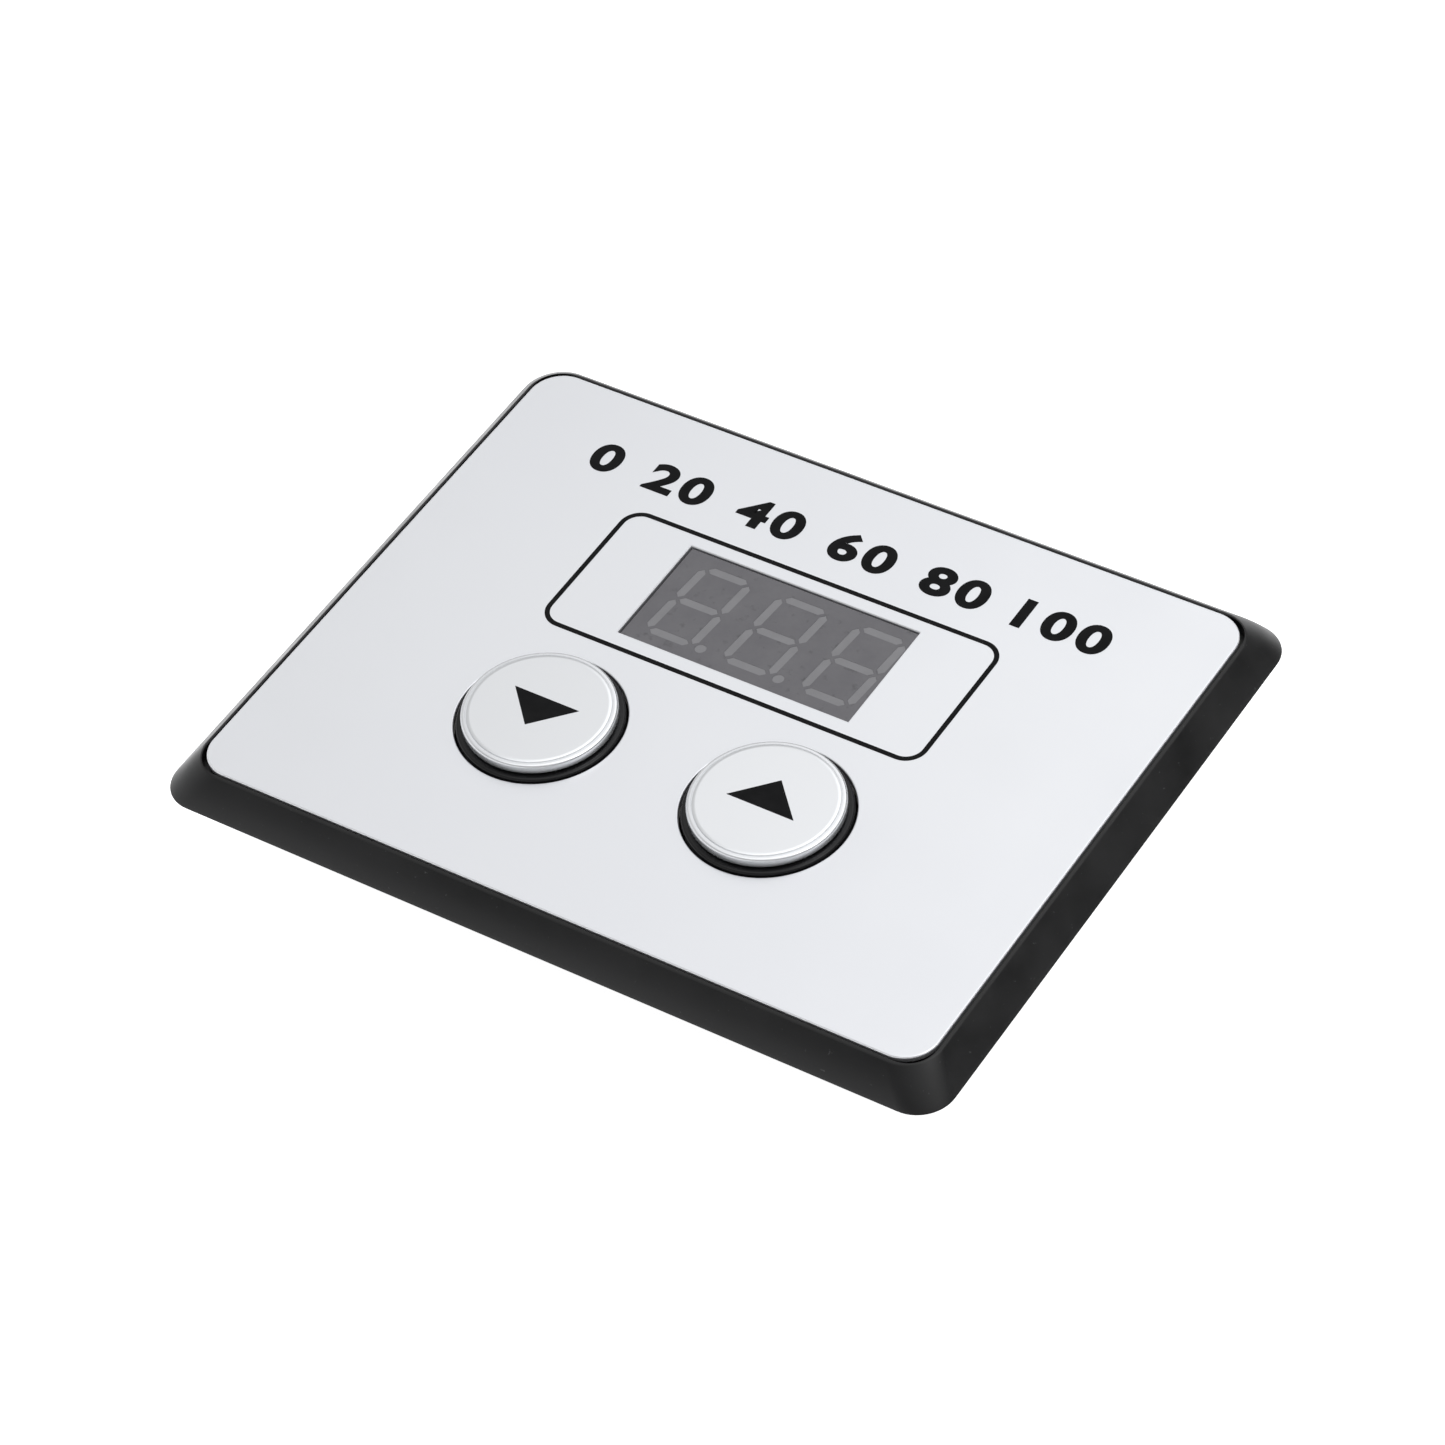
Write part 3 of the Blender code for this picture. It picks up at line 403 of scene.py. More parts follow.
def make_metal(name, color, roughness, stretch, fine=4200):
    """Drawn or plated metal, with its fine lines along one axis."""
    made = Finish(name, color, roughness, metallic=1.0)
    darker = tuple(channel * 0.82 for channel in color)
    made.shade(made.noise(300, 4), darker)
    made.gloss(made.noise(600, 4, stretch), 0.08)
    made.emboss(made.noise(fine, 3, stretch), 0.000006, 0.35)
    return made.material


def make_plastic(name, color, roughness, darker, grain=2500, relief=0.00001):
    made = Finish(name, color, roughness)
    made.shade(made.noise(220, 4), darker)
    made.gloss(made.noise(500, 3), 0.06)
    made.emboss(made.noise(grain, 3), relief, 0.4)
    return made.material


def make_board_green():
    """Solder mask over a glass weave."""
    made = Finish("board_green", (0.012, 0.11, 0.045), 0.30, coat=0.3)
    made.shade(made.noise(160, 3), (0.018, 0.15, 0.06))
    made.shade(made.noise(2600, 2, (1, 8, 1)), (0.010, 0.085, 0.035), 0.5, 0.7)
    made.gloss(made.noise(420, 3), 0.05)
    made.emboss(made.noise(2600, 2, (8, 1, 1)), 0.000008, 0.4)
    return made.material


SILVER_FILM = make_silver_film()
CAP_SILVER = make_cap_silver()
BLACK_CASE = make_black_case()
BUTTON_BLACK = make_button_black()
DISPLAY_GREY = make_display_grey()
SEGMENT_MILK = make_segment_milk()
BLACK_INK = make_ink()
FOAM = make_foam()
BOARD_GREEN = make_board_green()
STEEL = make_metal("steel", (0.60, 0.60, 0.62), 0.30, (1, 1, 1))
SPRING_STEEL = make_metal("spring_steel", (0.50, 0.50, 0.52), 0.28, (1, 0.06, 1))
BRASS = make_metal("brass", (0.78, 0.60, 0.28), 0.26, (1, 1, 0.1))
ADHESIVE = make_plastic("adhesive", (0.62, 0.61, 0.58), 0.75, (0.52, 0.51, 0.48))
BLACK_SWITCH = make_plastic("black_switch", (0.014, 0.014, 0.014), 0.5, (0.022, 0.022, 0.022))
CHIP_BLACK = make_plastic(
    "chip_black", (0.018, 0.018, 0.018), 0.6, (0.028, 0.028, 0.028), grain=5200, relief=0.00002
)
NETWORK_YELLOW = make_plastic(
    "network_yellow", (0.72, 0.50, 0.08), 0.42, (0.62, 0.42, 0.06), grain=900
)
CAN_BLUE = make_plastic("can_blue", (0.02, 0.04, 0.17), 0.30, (0.015, 0.03, 0.13), grain=700)
HEADER_WHITE = make_plastic("header_white", (0.76, 0.74, 0.66), 0.45, (0.70, 0.67, 0.58))


# ---------------------------------------------------------------- bezel


BUTTON_LIP = 0.0007
SLOPE_RUN = 0.0037
SLOPE_BULGE = 0.00030
SLOPE_STEPS = 6
FLANGE_CORNER = 0.0055
POCKET_CORNER = 0.0042
RIM_ROUND = 0.0003
DECK_TOP = 0.0180
DECK_LOW = 0.0160
BOX_CORNER = 0.0040
BOX_ROUND = 0.00025
ROOM_ROUND = 0.0005
WALL = 0.0020
WALL_SINK = 0.0006
BOSS_SINK = 0.0010
COVER_BOSS_R = 0.0032
BOARD_BOSS_R = 0.0025
CLIP_BOSS_R = 0.0026
CLIP_BOSS_DEPTH = 0.0020
SHANK_HOLE = 0.00135
HOLE_LOW = 0.012


def middle_of(node):
    low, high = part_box(node)
    return (low + high) / 2


def button_centres():
    return [middle_of(f"{side}_button_cap") for side in ("down", "up")]


def flared_rod(place, radius, z_low, z_high, flare):
    """A cutter for a round hole whose upper edge is rounded."""
    stations = [(radius, z_low)]
    stations += quarter(radius + flare, z_high - flare, flare, 180, 90)
    stations += [(radius + flare, z_high + 4 * flare)]
    return turned("cutter", place, stations)


def flared_block(low, high, flare):
    """A cutter for a square hole whose upper edge is eased."""
    cutter = block("cutter", low, (high[0], high[1], high[2] - flare))
    choose(cutter, "FACE", lambda face: face.normal.z > 0.9)
    bpy.ops.mesh.extrude_region_move(TRANSFORM_OT_translate={"value": (0, 0, flare)})
    size = (high[0] - low[0], high[1] - low[1])
    centre = ((low[0] + high[0]) / 2, (low[1] + high[1]) / 2, high[2])
    grown = (1 + 2 * flare / size[0], 1 + 2 * flare / size[1], 1)
    bpy.ops.transform.resize(value=grown, center_override=centre)
    bpy.ops.mesh.extrude_region_move(TRANSFORM_OT_translate={"value": (0, 0, 4 * flare)})
    leave_edit()
    return face_outward(cutter)


def window_corners(z_low, z_high):
    low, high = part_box("display_case")
    return (low.x - GAP, low.y - GAP, z_low), (high.x + GAP, high.y + GAP, z_high)


def button_hole_radius():
    low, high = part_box("down_button_body")
    return (high.x - low.x) / 2 - BUTTON_LIP


def sloped_block(name, low, high):
    """A block whose sides lean in towards the top, the long ones with a slight bulge."""
    rise = (high[2] - low[2]) / SLOPE_STEPS
    shell = block(name, low, (high[0], high[1], low[2] + rise))
    bevel(shell, is_upright, FLANGE_CORNER, 14)
    bulge = 0
    for step in range(1, SLOPE_STEPS + 1):
        share = step / SLOPE_STEPS
        wanted = SLOPE_BULGE * math.sin(math.pi * share)
        if step > 1:
            choose(shell, "FACE", lambda face: face.normal.z > 0.95)
            bpy.ops.mesh.extrude_region_move(TRANSFORM_OT_translate={"value": (0, 0, rise)})
            leave_edit()
        inset = SLOPE_RUN / SLOPE_STEPS
        draw_in(shell, low[2] + rise * step, inset, inset - wanted + bulge)
        bulge = wanted
    return shell


def make_bezel():
    """The black housing: a sloped flange with the plate's pocket, and the box behind it."""
    low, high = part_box("bezel_housing")
    cover_low, cover_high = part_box("rear_cover")
    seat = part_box("panel_gasket")[1].z + GAP
    shell = sloped_block("bezel_shell", (low.x, low.y, seat), high)
    round_rim(shell, high.z, RIM_ROUND, 4)
    plate_low, plate_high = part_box("front_plate")
    pocket = block(
        "cutter",
        (plate_low.x - GAP, plate_low.y - GAP, DECK_TOP),
        (plate_high.x + GAP, plate_high.y + GAP, plate_high.z + 2 * PAST),
    )
    bevel(pocket, is_upright, POCKET_CORNER, 14)
    carve(shell, pocket)
    round_rim(shell, seat, EDGE_ROUND, 2)

    walls_top = DECK_LOW + WALL_SINK
    walls = block("walls", (*cover_low.xy, low.z), (*cover_high.xy, walls_top))
    bevel(walls, is_upright, BOX_CORNER, 10)
    round_rim(walls, low.z, BOX_ROUND, 2)
    weld(shell, walls)
    room = block(
        "cutter",
        (cover_low.x + WALL, cover_low.y + WALL, 0),
        (cover_high.x - WALL, cover_high.y - WALL, DECK_LOW),
    )
    bevel(room, is_upright, BOX_CORNER - WALL, 8)
    round_rim(room, DECK_LOW, ROOM_ROUND, 3)
    carve(shell, room)
    add_screw_bosses(shell, low.z)
    add_clip_bores(shell)
    corner_low, corner_high = window_corners(0, DECK_TOP)
    carve(shell, flared_block(corner_low, corner_high, EDGE_ROUND))
    for centre in button_centres():
        carve(shell, flared_rod(centre, button_hole_radius(), HOLE_LOW, DECK_TOP, EDGE_ROUND))
    dress(shell, BLACK_CASE, stands_for=["bezel_housing"])


def add_screw_bosses(shell, floor):
    """Bosses for the cover's screws and the board's, each with its hole."""
    for number in range(1, 5):
        cover_screw = middle_of(f"cover_screw_{number}")
        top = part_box(f"cover_screw_{number}")[1].z
        boss = rod("boss", cover_screw, COVER_BOSS_R, floor, DECK_LOW + BOSS_SINK)
        round_rim(boss, floor, EDGE_ROUND, 2)
        weld(shell, boss)
        carve(shell, rod("cutter", cover_screw, SHANK_HOLE, 0, top + GAP, 32))
        board_screw = middle_of(f"board_screw_{number}")
        board_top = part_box("main_board")[1].z + GAP
        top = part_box(f"board_screw_{number}")[1].z
        boss = rod("boss", board_screw, BOARD_BOSS_R, board_top, DECK_LOW + BOSS_SINK)
        round_rim(boss, board_top, EDGE_ROUND, 2)
        weld(shell, boss)
        carve(shell, rod("cutter", board_screw, SHANK_HOLE, board_top - PAST, top + GAP, 32))


def add_clip_bores(shell):
    """A boss inside each short wall, with the hole for its clip's screw."""
    cover_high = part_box("rear_cover")[1]
    for side, name in ((-1, "left"), (1, "right")):
        height = middle_of(f"{name}_clip_screw").z
        inner = cover_high.x - WALL
        for radius, start, end, work in (
            (CLIP_BOSS_R, inner - CLIP_BOSS_DEPTH, inner + PAST, weld),
            (SHANK_HOLE, inner - 2 * CLIP_BOSS_DEPTH, cover_high.x + PAST, carve),
        ):
            piece = rod("boss", (0, 0), radius, start, end, 32)
            piece.data.transform(Matrix.Rotation(side * math.pi / 2, 4, "Y"))
            piece.data.transform(Matrix.Translation((0, 0, height)))
            work(shell, piece)


# ---------------------------------------------------------------- front plate and its print


PLATE_CORNER = 0.0050
PLATE_ROUND = 0.00025
PLATE_BACK_ROUND = 0.0001
WINDOW_FLARE = 0.00012
HOLE_FLARE = 0.00022
OUTLINE_REACH_LOW = (0.0302, 0.0122)
OUTLINE_REACH_HIGH = (0.0309, 0.0119)
OUTLINE_HALF = 0.00037
OUTLINE_CORNER = 0.0029
LABELS = ("0", "20", "40", "60", "80", "100")
LABEL_SIZE = 0.0074
LABEL_BOLD = 0.00028
LABEL_SPACING = 1.2
LABEL_STRETCH = 1.25
NUMBERS_LEFT = -0.0423
NUMBERS_RIGHT = 0.0426
NUMBERS_BASE = 0.0296


def make_front_plate():
    """The silver plate with its window and button holes; gives the height of its face."""
    low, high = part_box("front_plate")
    plate = block("silver_face_plate", low, high)
    bevel(plate, is_upright, PLATE_CORNER, 18)
    round_rim(plate, high.z, PLATE_ROUND, 4)
    round_rim(plate, low.z, PLATE_BACK_ROUND, 2)
    below = low.z - PAST
    corner_low, corner_high = window_corners(below, high.z)
    carve(plate, flared_block(corner_low, corner_high, WINDOW_FLARE))
    for centre in button_centres():
        carve(plate, flared_rod(centre, button_hole_radius(), below, high.z, HOLE_FLARE))
    dress(plate, SILVER_FILM, stands_for=["front_plate"])
    return high.z


def make_outline(top):
    """The printed line round the display."""
    centre = middle_of("display_case")
    low = centre.xy - Vector(OUTLINE_REACH_LOW)
    high = centre.xy + Vector(OUTLINE_REACH_HIGH)
    half = Vector((OUTLINE_HALF, OUTLINE_HALF))
    line = block("display_outline", (*(low - half), top - INK), (*(high + half), top + INK))
    bevel(line, is_upright, OUTLINE_CORNER + OUTLINE_HALF, 14)
    inner = block("cutter", (*(low + half), top - PAST), (*(high - half), top + PAST))
    bevel(inner, is_upright, OUTLINE_CORNER - OUTLINE_HALF, 14)
    carve(line, inner)
    dress(line, BLACK_INK)


def label(text, height):
    """A bold printed label, its lower left corner at the origin."""
    deselect_all()
    bpy.ops.object.text_add(location=(0, 0, height))
    made = bpy.context.object
    made.data.body = text
    made.data.size = LABEL_SIZE
    made.data.offset = LABEL_BOLD
    made.data.space_character = LABEL_SPACING
    made.data.resolution_u = 8
    made.data.extrude = INK
    made.scale.x = LABEL_STRETCH
    bpy.ops.object.convert(target="MESH")
    return settle(bpy.context.object)


def make_numbers(top):
    """Plain scale numbers spread evenly across the upper part of the plate."""
    labels = [label(text, top) for text in LABELS]
    edges = []
    for made in labels:
        places = [vert.co.x for vert in made.data.vertices]
        edges.append((min(places), max(places)))
    widths = [high - low for low, high in edges]
    space = (NUMBERS_RIGHT - NUMBERS_LEFT - sum(widths)) / (len(labels) - 1)
    start = NUMBERS_LEFT
    for made, (low, high) in zip(labels, edges):
        made.data.transform(Matrix.Translation((start - low, NUMBERS_BASE, 0)))
        start += high - low + space
    numbers = join(*labels)
    numbers.name = "scale_numbers"
    dress(numbers, BLACK_INK)


# ---------------------------------------------------------------- buttons


CAP_WALL = 0.0008
CAP_ROUND = 0.00040
CAP_EDGE = 0.00012
FACE_RISE = 0.00010
GROOVE_INSET = 0.00075
ARROW_W = 0.0106
ARROW_H = 0.0055
ARROW_LIFT = 0.0002
STEM_WALL = 0.0014
STEM_ROUND = 0.0004
STEM_ROOF = 0.0015
STEM_EDGE = 0.00015
LIP_H = 0.0012
POST_R = 0.0020
POST_FREE = 0.00035


def make_cap(side):
    """The hollow silver cap, with a fine groove round its raised face."""
    node = f"{side}_button_cap"
    low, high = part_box(node)
    centre = (low + high) / 2
    radius = (high.x - low.x) / 2
    top = high.z
    rim = top - FACE_RISE
    ceiling = top - CAP_WALL
    inner = radius - CAP_WALL
    stations = [(0.002, ceiling), (inner - 0.0003, ceiling), (inner, ceiling - 0.0003)]
    stations += [(inner, low.z), (radius - CAP_EDGE, low.z), (radius, low.z + CAP_EDGE)]
    stations += quarter(radius - CAP_ROUND, rim - CAP_ROUND, CAP_ROUND, 0, 90, 7)
    groove = radius - GROOVE_INSET
    stations += [(groove + 0.00008, rim), (groove + 0.00004, rim - 0.00010)]
    stations += [(groove - 0.00004, rim - 0.00010), (groove - 0.00010, rim + 0.00006)]
    stations += [(groove - 0.00018, top), (groove - 0.0006, top), (0.002, top)]
    cap = turned(f"{side}_cap_shell", centre, stations, 128)
    dress(cap, CAP_SILVER, f"{side}_button", [node], smooth=40)


def make_arrow(side):
    """The printed triangle on the cap."""
    cap_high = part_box(f"{side}_button_cap")[1]
    centre = middle_of(f"{side}_button_cap")
    up = 1 if side == "up" else -1
    deselect_all()
    place = (centre.x, centre.y + ARROW_LIFT, cap_high.z)
    bpy.ops.mesh.primitive_cylinder_add(vertices=3, radius=1, depth=2 * INK, location=place)
    mark = bpy.context.object
    mark.scale = (ARROW_W / math.sqrt(3), up * ARROW_H / 1.5, 1)
    new_piece(f"{side}_arrow_mark")
    dress(mark, BLACK_INK, f"{side}_button")


def make_button_stem(side):
    """The black body under the cap: a lip below the plate, a collar, and a post to the switch."""
    node = f"{side}_button_body"
    low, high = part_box(node)
    centre = (low + high) / 2
    cap_low, cap_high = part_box(f"{side}_button_cap")
    lip = (high.x - low.x) / 2
    collar = lip - BUTTON_LIP - GAP
    seat = (cap_high.x - cap_low.x) / 2 - CAP_WALL - GAP
    shoulder = cap_low.z - GAP
    post_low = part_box(f"{side}_switch_plunger")[1].z + POST_FREE
    ceiling = shoulder - STEM_ROOF
    inner = collar - STEM_WALL
    lip_top = low.z + LIP_H
    stations = [(POST_R - 0.0004, post_low), (POST_R, post_low + 0.0003)]
    stations += [(POST_R, ceiling - STEM_ROUND), (POST_R + STEM_ROUND, ceiling)]
    stations += [(inner - STEM_ROUND, ceiling), (inner, ceiling - STEM_ROUND), (inner, low.z)]
    stations += [(lip - STEM_EDGE, low.z), (lip, low.z + STEM_EDGE)]
    stations += [(lip, lip_top - STEM_EDGE), (lip - STEM_EDGE, lip_top), (collar, lip_top)]
    stations += quarter(collar - STEM_ROUND, shoulder - STEM_ROUND, STEM_ROUND, 0, 90, 5)
    stations += [(seat, shoulder), (seat, high.z - 0.0001), (seat - 0.0001, high.z)]
    stations += [(0.002, high.z)]
    stem = turned(f"{side}_button_stem", centre, stations, 128)
    dress(stem, BUTTON_BLACK, f"{side}_button", [node], smooth=40)


# ---------------------------------------------------------------- display


DIGIT_PITCH = 0.0127
DIGIT_W = 0.00735
DIGIT_H = 0.01366
BAR_W = 0.00125
BAR_END_GAP = 0.00030
BAR_SIDE_GAP = 0.00050
DIGIT_SHIFT = 0.0012
DIGIT_SLANT = math.tan(math.radians(4.4))
POINT_R = 0.0008
POINT_X = 0.0052
POINT_STEPS = 24
POINT_SPLIT = 0.00001
CUT_GROW = 0.000015
FACE_RECESS = 0.00028


def bar(x, y, length, upright, grow, z_low, z_high):
    """One bar with pointed ends: a six-sided rod with its two halves drawn apart."""
    half = BAR_W / 2 + grow
    deselect_all()
    bpy.ops.mesh.primitive_cylinder_add(vertices=4, radius=half, depth=z_high - z_low)
    piece = new_piece("bar")
    end_gap = BAR_END_GAP if upright else BAR_SIDE_GAP
    reach = length / 2 - end_gap + grow * 1.41 - half
    # A tiny bevel splits each side point in two, so that the halves can be drawn apart.
    bevel(
        piece,
        lambda edge: is_upright(edge) and abs(edge.verts[0].co.y) > half * 0.9,
        POINT_SPLIT,
        1,
    )
    for side in (-1, 1):
        choose(piece, "VERT", lambda vert: vert.co.x * side > 1e-7)
        bpy.ops.transform.translate(value=(side * reach, 0, 0))
        leave_edit()
    if upright:
        piece.data.transform(Matrix.Rotation(math.pi / 2, 4, "Z"))
    piece.data.transform(Matrix.Translation((x, y, (z_low + z_high) / 2)))
    return piece


def digit_bars(middle_x, grow, z_low, z_high, with_point):
    """The seven bars of one digit, leaning over, and its decimal point."""
    right, top = DIGIT_W / 2, DIGIT_H / 2
    made = [bar(0, y, DIGIT_W, False, grow, z_low, z_high) for y in (top, 0, -top)]
    made += [
        bar(x, y, DIGIT_H / 2, True, grow, z_low, z_high)
        for x in (-right, right)
        for y in (top / 2, -top / 2)
    ]
    if with_point:
        made.append(rod("bar", (POINT_X, -top), POINT_R + grow, z_low, z_high, POINT_STEPS))
    digit = join(*made)
    lean = Matrix.Identity(4)
    lean[0][1] = DIGIT_SLANT
    digit.data.transform(lean)
    digit.data.transform(Matrix.Translation((middle_x, 0, 0)))
    return digit


def all_bars(name, grow, z_low, z_high):
    """The bars of the three digits as one mesh, grown by a little where they cut their slots."""
    low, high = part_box("display_case")
    centre = (low + high) / 2
    digits = []
    for index in range(3):
        middle_x = centre.x + DIGIT_SHIFT + (index - 1) * DIGIT_PITCH
        digits.append(digit_bars(middle_x, grow, z_low, z_high, index < 2))
    bars = join(*digits)
    bars.data.transform(Matrix.Translation((0, centre.y, 0)))
    bars.name = name
    return face_outward(bars)


def make_display():
    """The grey face with its slots, and the milky bars that fill them from one base."""
    low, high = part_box("display_case")
    top_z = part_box("front_plate")[1].z - FACE_RECESS
    room = GAP - 0.00005
    face_high = (high.x + room, high.y + 0.00012, top_z)
    face = block("display_window_face", (low.x, low.y - room, low.z), face_high)
    bevel(face, is_upright, 0.0002, 3)
    round_rim(face, top_z, 0.00008, 2)
    carve(face, all_bars("cutter", CUT_GROW, low.z - PAST, top_z + PAST))
    dress(face, DISPLAY_GREY, stands_for=["display_case"])
    base_low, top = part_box("display_diffuser")
    base_high = low.z - GAP
    bars = all_bars("display_segment_bars", 0.0, base_high - 0.0002, top_z - 0.00002)
    base = block("base", base_low, (top.x, top.y, base_high))
    bevel(base, is_upright, 0.0003, 3)
    weld(bars, base)
    dress(bars, SEGMENT_MILK, stands_for=["display_diffuser"])


# ---------------------------------------------------------------- rear cover, gasket, screws and clips


LID_T = 0.0020
LID_ROUND = 0.00035
LIP_T = 0.0012
NOTCH_DEPTH = 0.0024
NOTCH_HALF = 0.0029
BOSS_ROOM_R = 0.0035
PORT_MARGIN = 0.0012
PORT_REACH = 0.008
GASKET_WIDTH = 0.0065
GASKET_ROUND = 0.00015
SHANK_R = 0.00105
HEAD_R = 0.0021
PAN_HEAD_H = 0.0013
SUNK_HEAD_H = 0.0012
CROSS_ARM = 0.0012
CROSS_W = 0.0004
CROSS_DEPTH = 0.0006
THREAD_PITCH = 0.00060
THREAD_DEPTH = 0.00017


def inset_block(name, low, high, inset, z_low, z_high):
    """A block inside two corners, in by an inset on all four sides."""
    shift = Vector((inset, inset))
    return block(name, (*(low.xy + shift), z_low), (*(high.xy - shift), z_high))


def make_cover():
    """The lid with its lip, notches for the clip bosses, screw seats and the cable's opening."""
    low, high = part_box("rear_cover")
    lid_top = low.z + LID_T
    lid = block("rear_lid", low, (high.x, high.y, lid_top))
    bevel(lid, is_upright, BOX_CORNER, 12)
    round_rim(lid, low.z, LID_ROUND, 4)
    lip = inset_block("lip", low, high, WALL + GAP, lid_top - WALL_SINK, high.z)
    bevel(lip, is_upright, BOX_CORNER - WALL, 8)
    round_rim(lip, high.z, EDGE_ROUND, 2)
    room = inset_block("cutter", low, high, WALL + GAP + LIP_T, lid_top, high.z + 2 * PAST)
    bevel(room, is_upright, BOX_CORNER - WALL, 8)
    weld(lid, lip)
    carve(lid, room)
    for side in (-1, 1):
        middle = side * (high.x - WALL - GAP)
        notch_low = (middle - NOTCH_DEPTH, -NOTCH_HALF, lid_top)
        notch_high = (middle + NOTCH_DEPTH, NOTCH_HALF, high.z + PAST)
        carve(lid, block("cutter", notch_low, notch_high))
    for number in range(1, 5):
        place = middle_of(f"cover_screw_{number}")
        carve(lid, rod("cutter", place, BOSS_ROOM_R, lid_top, high.z + PAST))
        head, shank = HEAD_R + GAP, SHANK_R + GAP
        mouth = [(head + 0.0012, low.z - PAST), (head + 0.0002, low.z), (head, low.z + 0.0003)]
        mouth += [(shank, low.z + 0.0017), (shank, lid_top + PAST)]
        carve(lid, turned("cutter", place, mouth, 48))
    port_low, port_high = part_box("cable_header")
    port = inset_block("cutter", port_low, port_high, -PORT_MARGIN, low.z - PAST, lid_top + PAST)
    bevel(port, is_upright, PORT_MARGIN, 6)
    carve(lid, port)
    bevel(
        lid,
        lambda edge: lies_at(low.z)(edge) and abs(edge.verts[0].co.y) < PORT_REACH,
        EDGE_ROUND,
        2,
    )
    dress(lid, BLACK_CASE, stands_for=["rear_cover"])


def make_gasket():
    """A foam ring behind the flange, round the box."""
    low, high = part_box("panel_gasket")
    foam = block("foam_gasket", low, high)
    bevel(foam, is_upright, BOX_CORNER, 12)
    hole = inset_block("cutter", low, high, GASKET_WIDTH, low.z - PAST, high.z + PAST)
    bevel(hole, is_upright, BOX_CORNER, 12)
    carve(foam, hole)
    round_rim(foam, low.z, GASKET_ROUND, 3)
    round_rim(foam, high.z, GASKET_ROUND, 3)
    dress(foam, FOAM, stands_for=["panel_gasket"])


def threads(low, tip):
    """Stations along a threaded shank, with a blunt tapered end."""
    stations = []
    height = low
    while height + THREAD_PITCH < tip - 0.0008:
        stations.append((SHANK_R - THREAD_DEPTH, height + 0.1 * THREAD_PITCH))
        stations.append((SHANK_R, height + 0.5 * THREAD_PITCH))
        stations.append((SHANK_R, height + 0.6 * THREAD_PITCH))
        height += THREAD_PITCH
    stations.append((SHANK_R - THREAD_DEPTH, height + 0.1 * THREAD_PITCH))
    stations.append((SHANK_R * 0.8, tip - 0.0004))
    stations.append((SHANK_R * 0.45, tip))
    return stations


def cross_recess(screw):
    """Two crossed bars that narrow with depth, cut in the head's outer face at zero."""
    for size_x, size_y in ((CROSS_ARM, CROSS_W / 2), (CROSS_W / 2, CROSS_ARM)):
        arm = block("cutter", (-size_x, -size_y, -0.0004), (size_x, size_y, CROSS_DEPTH))
        choose(arm, "FACE", lambda face: face.normal.z > 0.9)
        bpy.ops.transform.resize(value=(0.6, 0.6, 1), center_override=(0, 0, CROSS_DEPTH))
        leave_edit()
        carve(screw, arm)


def sunk_screw(length):
    """A countersunk screw with its head's face at zero, pointing up."""
    stations = [(0.0004, 0), (HEAD_R - 0.0001, 0), (HEAD_R, 0.0001), (SHANK_R, SUNK_HEAD_H)]
    screw = turned("screw", (0, 0), stations + threads(SUNK_HEAD_H + 0.0002, length), 40)
    cross_recess(screw)
    return screw


def pan_screw(length):
    """A pan-head screw with its head's face at zero, pointing up."""
    stations = [(0.0004, 0), (HEAD_R - 0.0008, 0), (HEAD_R - 0.0005, 0.00006)]
    stations += [(HEAD_R - 0.00022, 0.00024), (HEAD_R - 0.00005, 0.0005), (HEAD_R, 0.0008)]
    stations += [(HEAD_R, PAN_HEAD_H - 0.0001), (HEAD_R - 0.0001, PAN_HEAD_H)]
    stations.append((SHANK_R, PAN_HEAD_H))
    screw = turned("screw", (0, 0), stations + threads(PAN_HEAD_H + 0.0002, length), 40)
    cross_recess(screw)
    return screw


def place_screws(pattern, nodes, turns=None):
    """Copies the pattern to each node, and takes the pattern away."""
    for node in nodes:
        low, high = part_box(node)
        centre = (low + high) / 2
        turn, place = None, (centre.x, centre.y, low.z)
        if turns:
            side = turns[node]
            turn = Matrix.Rotation(-side * math.pi / 2, 4, "Y")
            place = (high.x if side > 0 else low.x, centre.y, centre.z)
        screw = copy_of(pattern, f"{node}_threaded", place, turn)
        dress(screw, STEEL, stands_for=[node])
    bpy.data.objects.remove(pattern)


def node_length(node, axis):
    low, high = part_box(node)
    return high[axis] - low[axis]


def make_screws():
    cover = [f"cover_screw_{number}" for number in range(1, 5)]
    place_screws(sunk_screw(node_length(cover[0], 2)), cover)
    board = [f"board_screw_{number}" for number in range(1, 5)]
    place_screws(pan_screw(node_length(board[0], 2)), board)
    turns = {"left_clip_screw": -1, "right_clip_screw": 1}
    place_screws(pan_screw(node_length("left_clip_screw", 0)), list(turns), turns)


# ---------------------------------------------------------------- springs and small parts


WIRE_R = 0.0003
END_PITCH = 0.00075
FREE_TURNS = 3


def coil(centre, radius, z_low, rise, turns):
    """Wire wound round a standing axis."""
    deselect_all()
    place = (centre.x + radius, centre.y, z_low)
    bpy.ops.mesh.primitive_circle_add(
        vertices=12, radius=WIRE_R, fill_type="NOTHING", location=place, rotation=(math.pi / 2, 0, 0)
    )
    wire = new_piece("wire")
    wire.data.transform(Matrix.Translation((-centre.x, -centre.y, 0)))
    wound = wire.modifiers.new("wound", "SCREW")
    wound.axis = "Z"
    wound.angle = 2 * math.pi
    wound.iterations = turns
    wound.screw_offset = rise / turns
    wound.steps = wound.render_steps = 48
    bpy.ops.object.modifier_apply(modifier=wound.name)
    wire.data.transform(Matrix.Translation((centre.x, centre.y, 0)))
    return wire


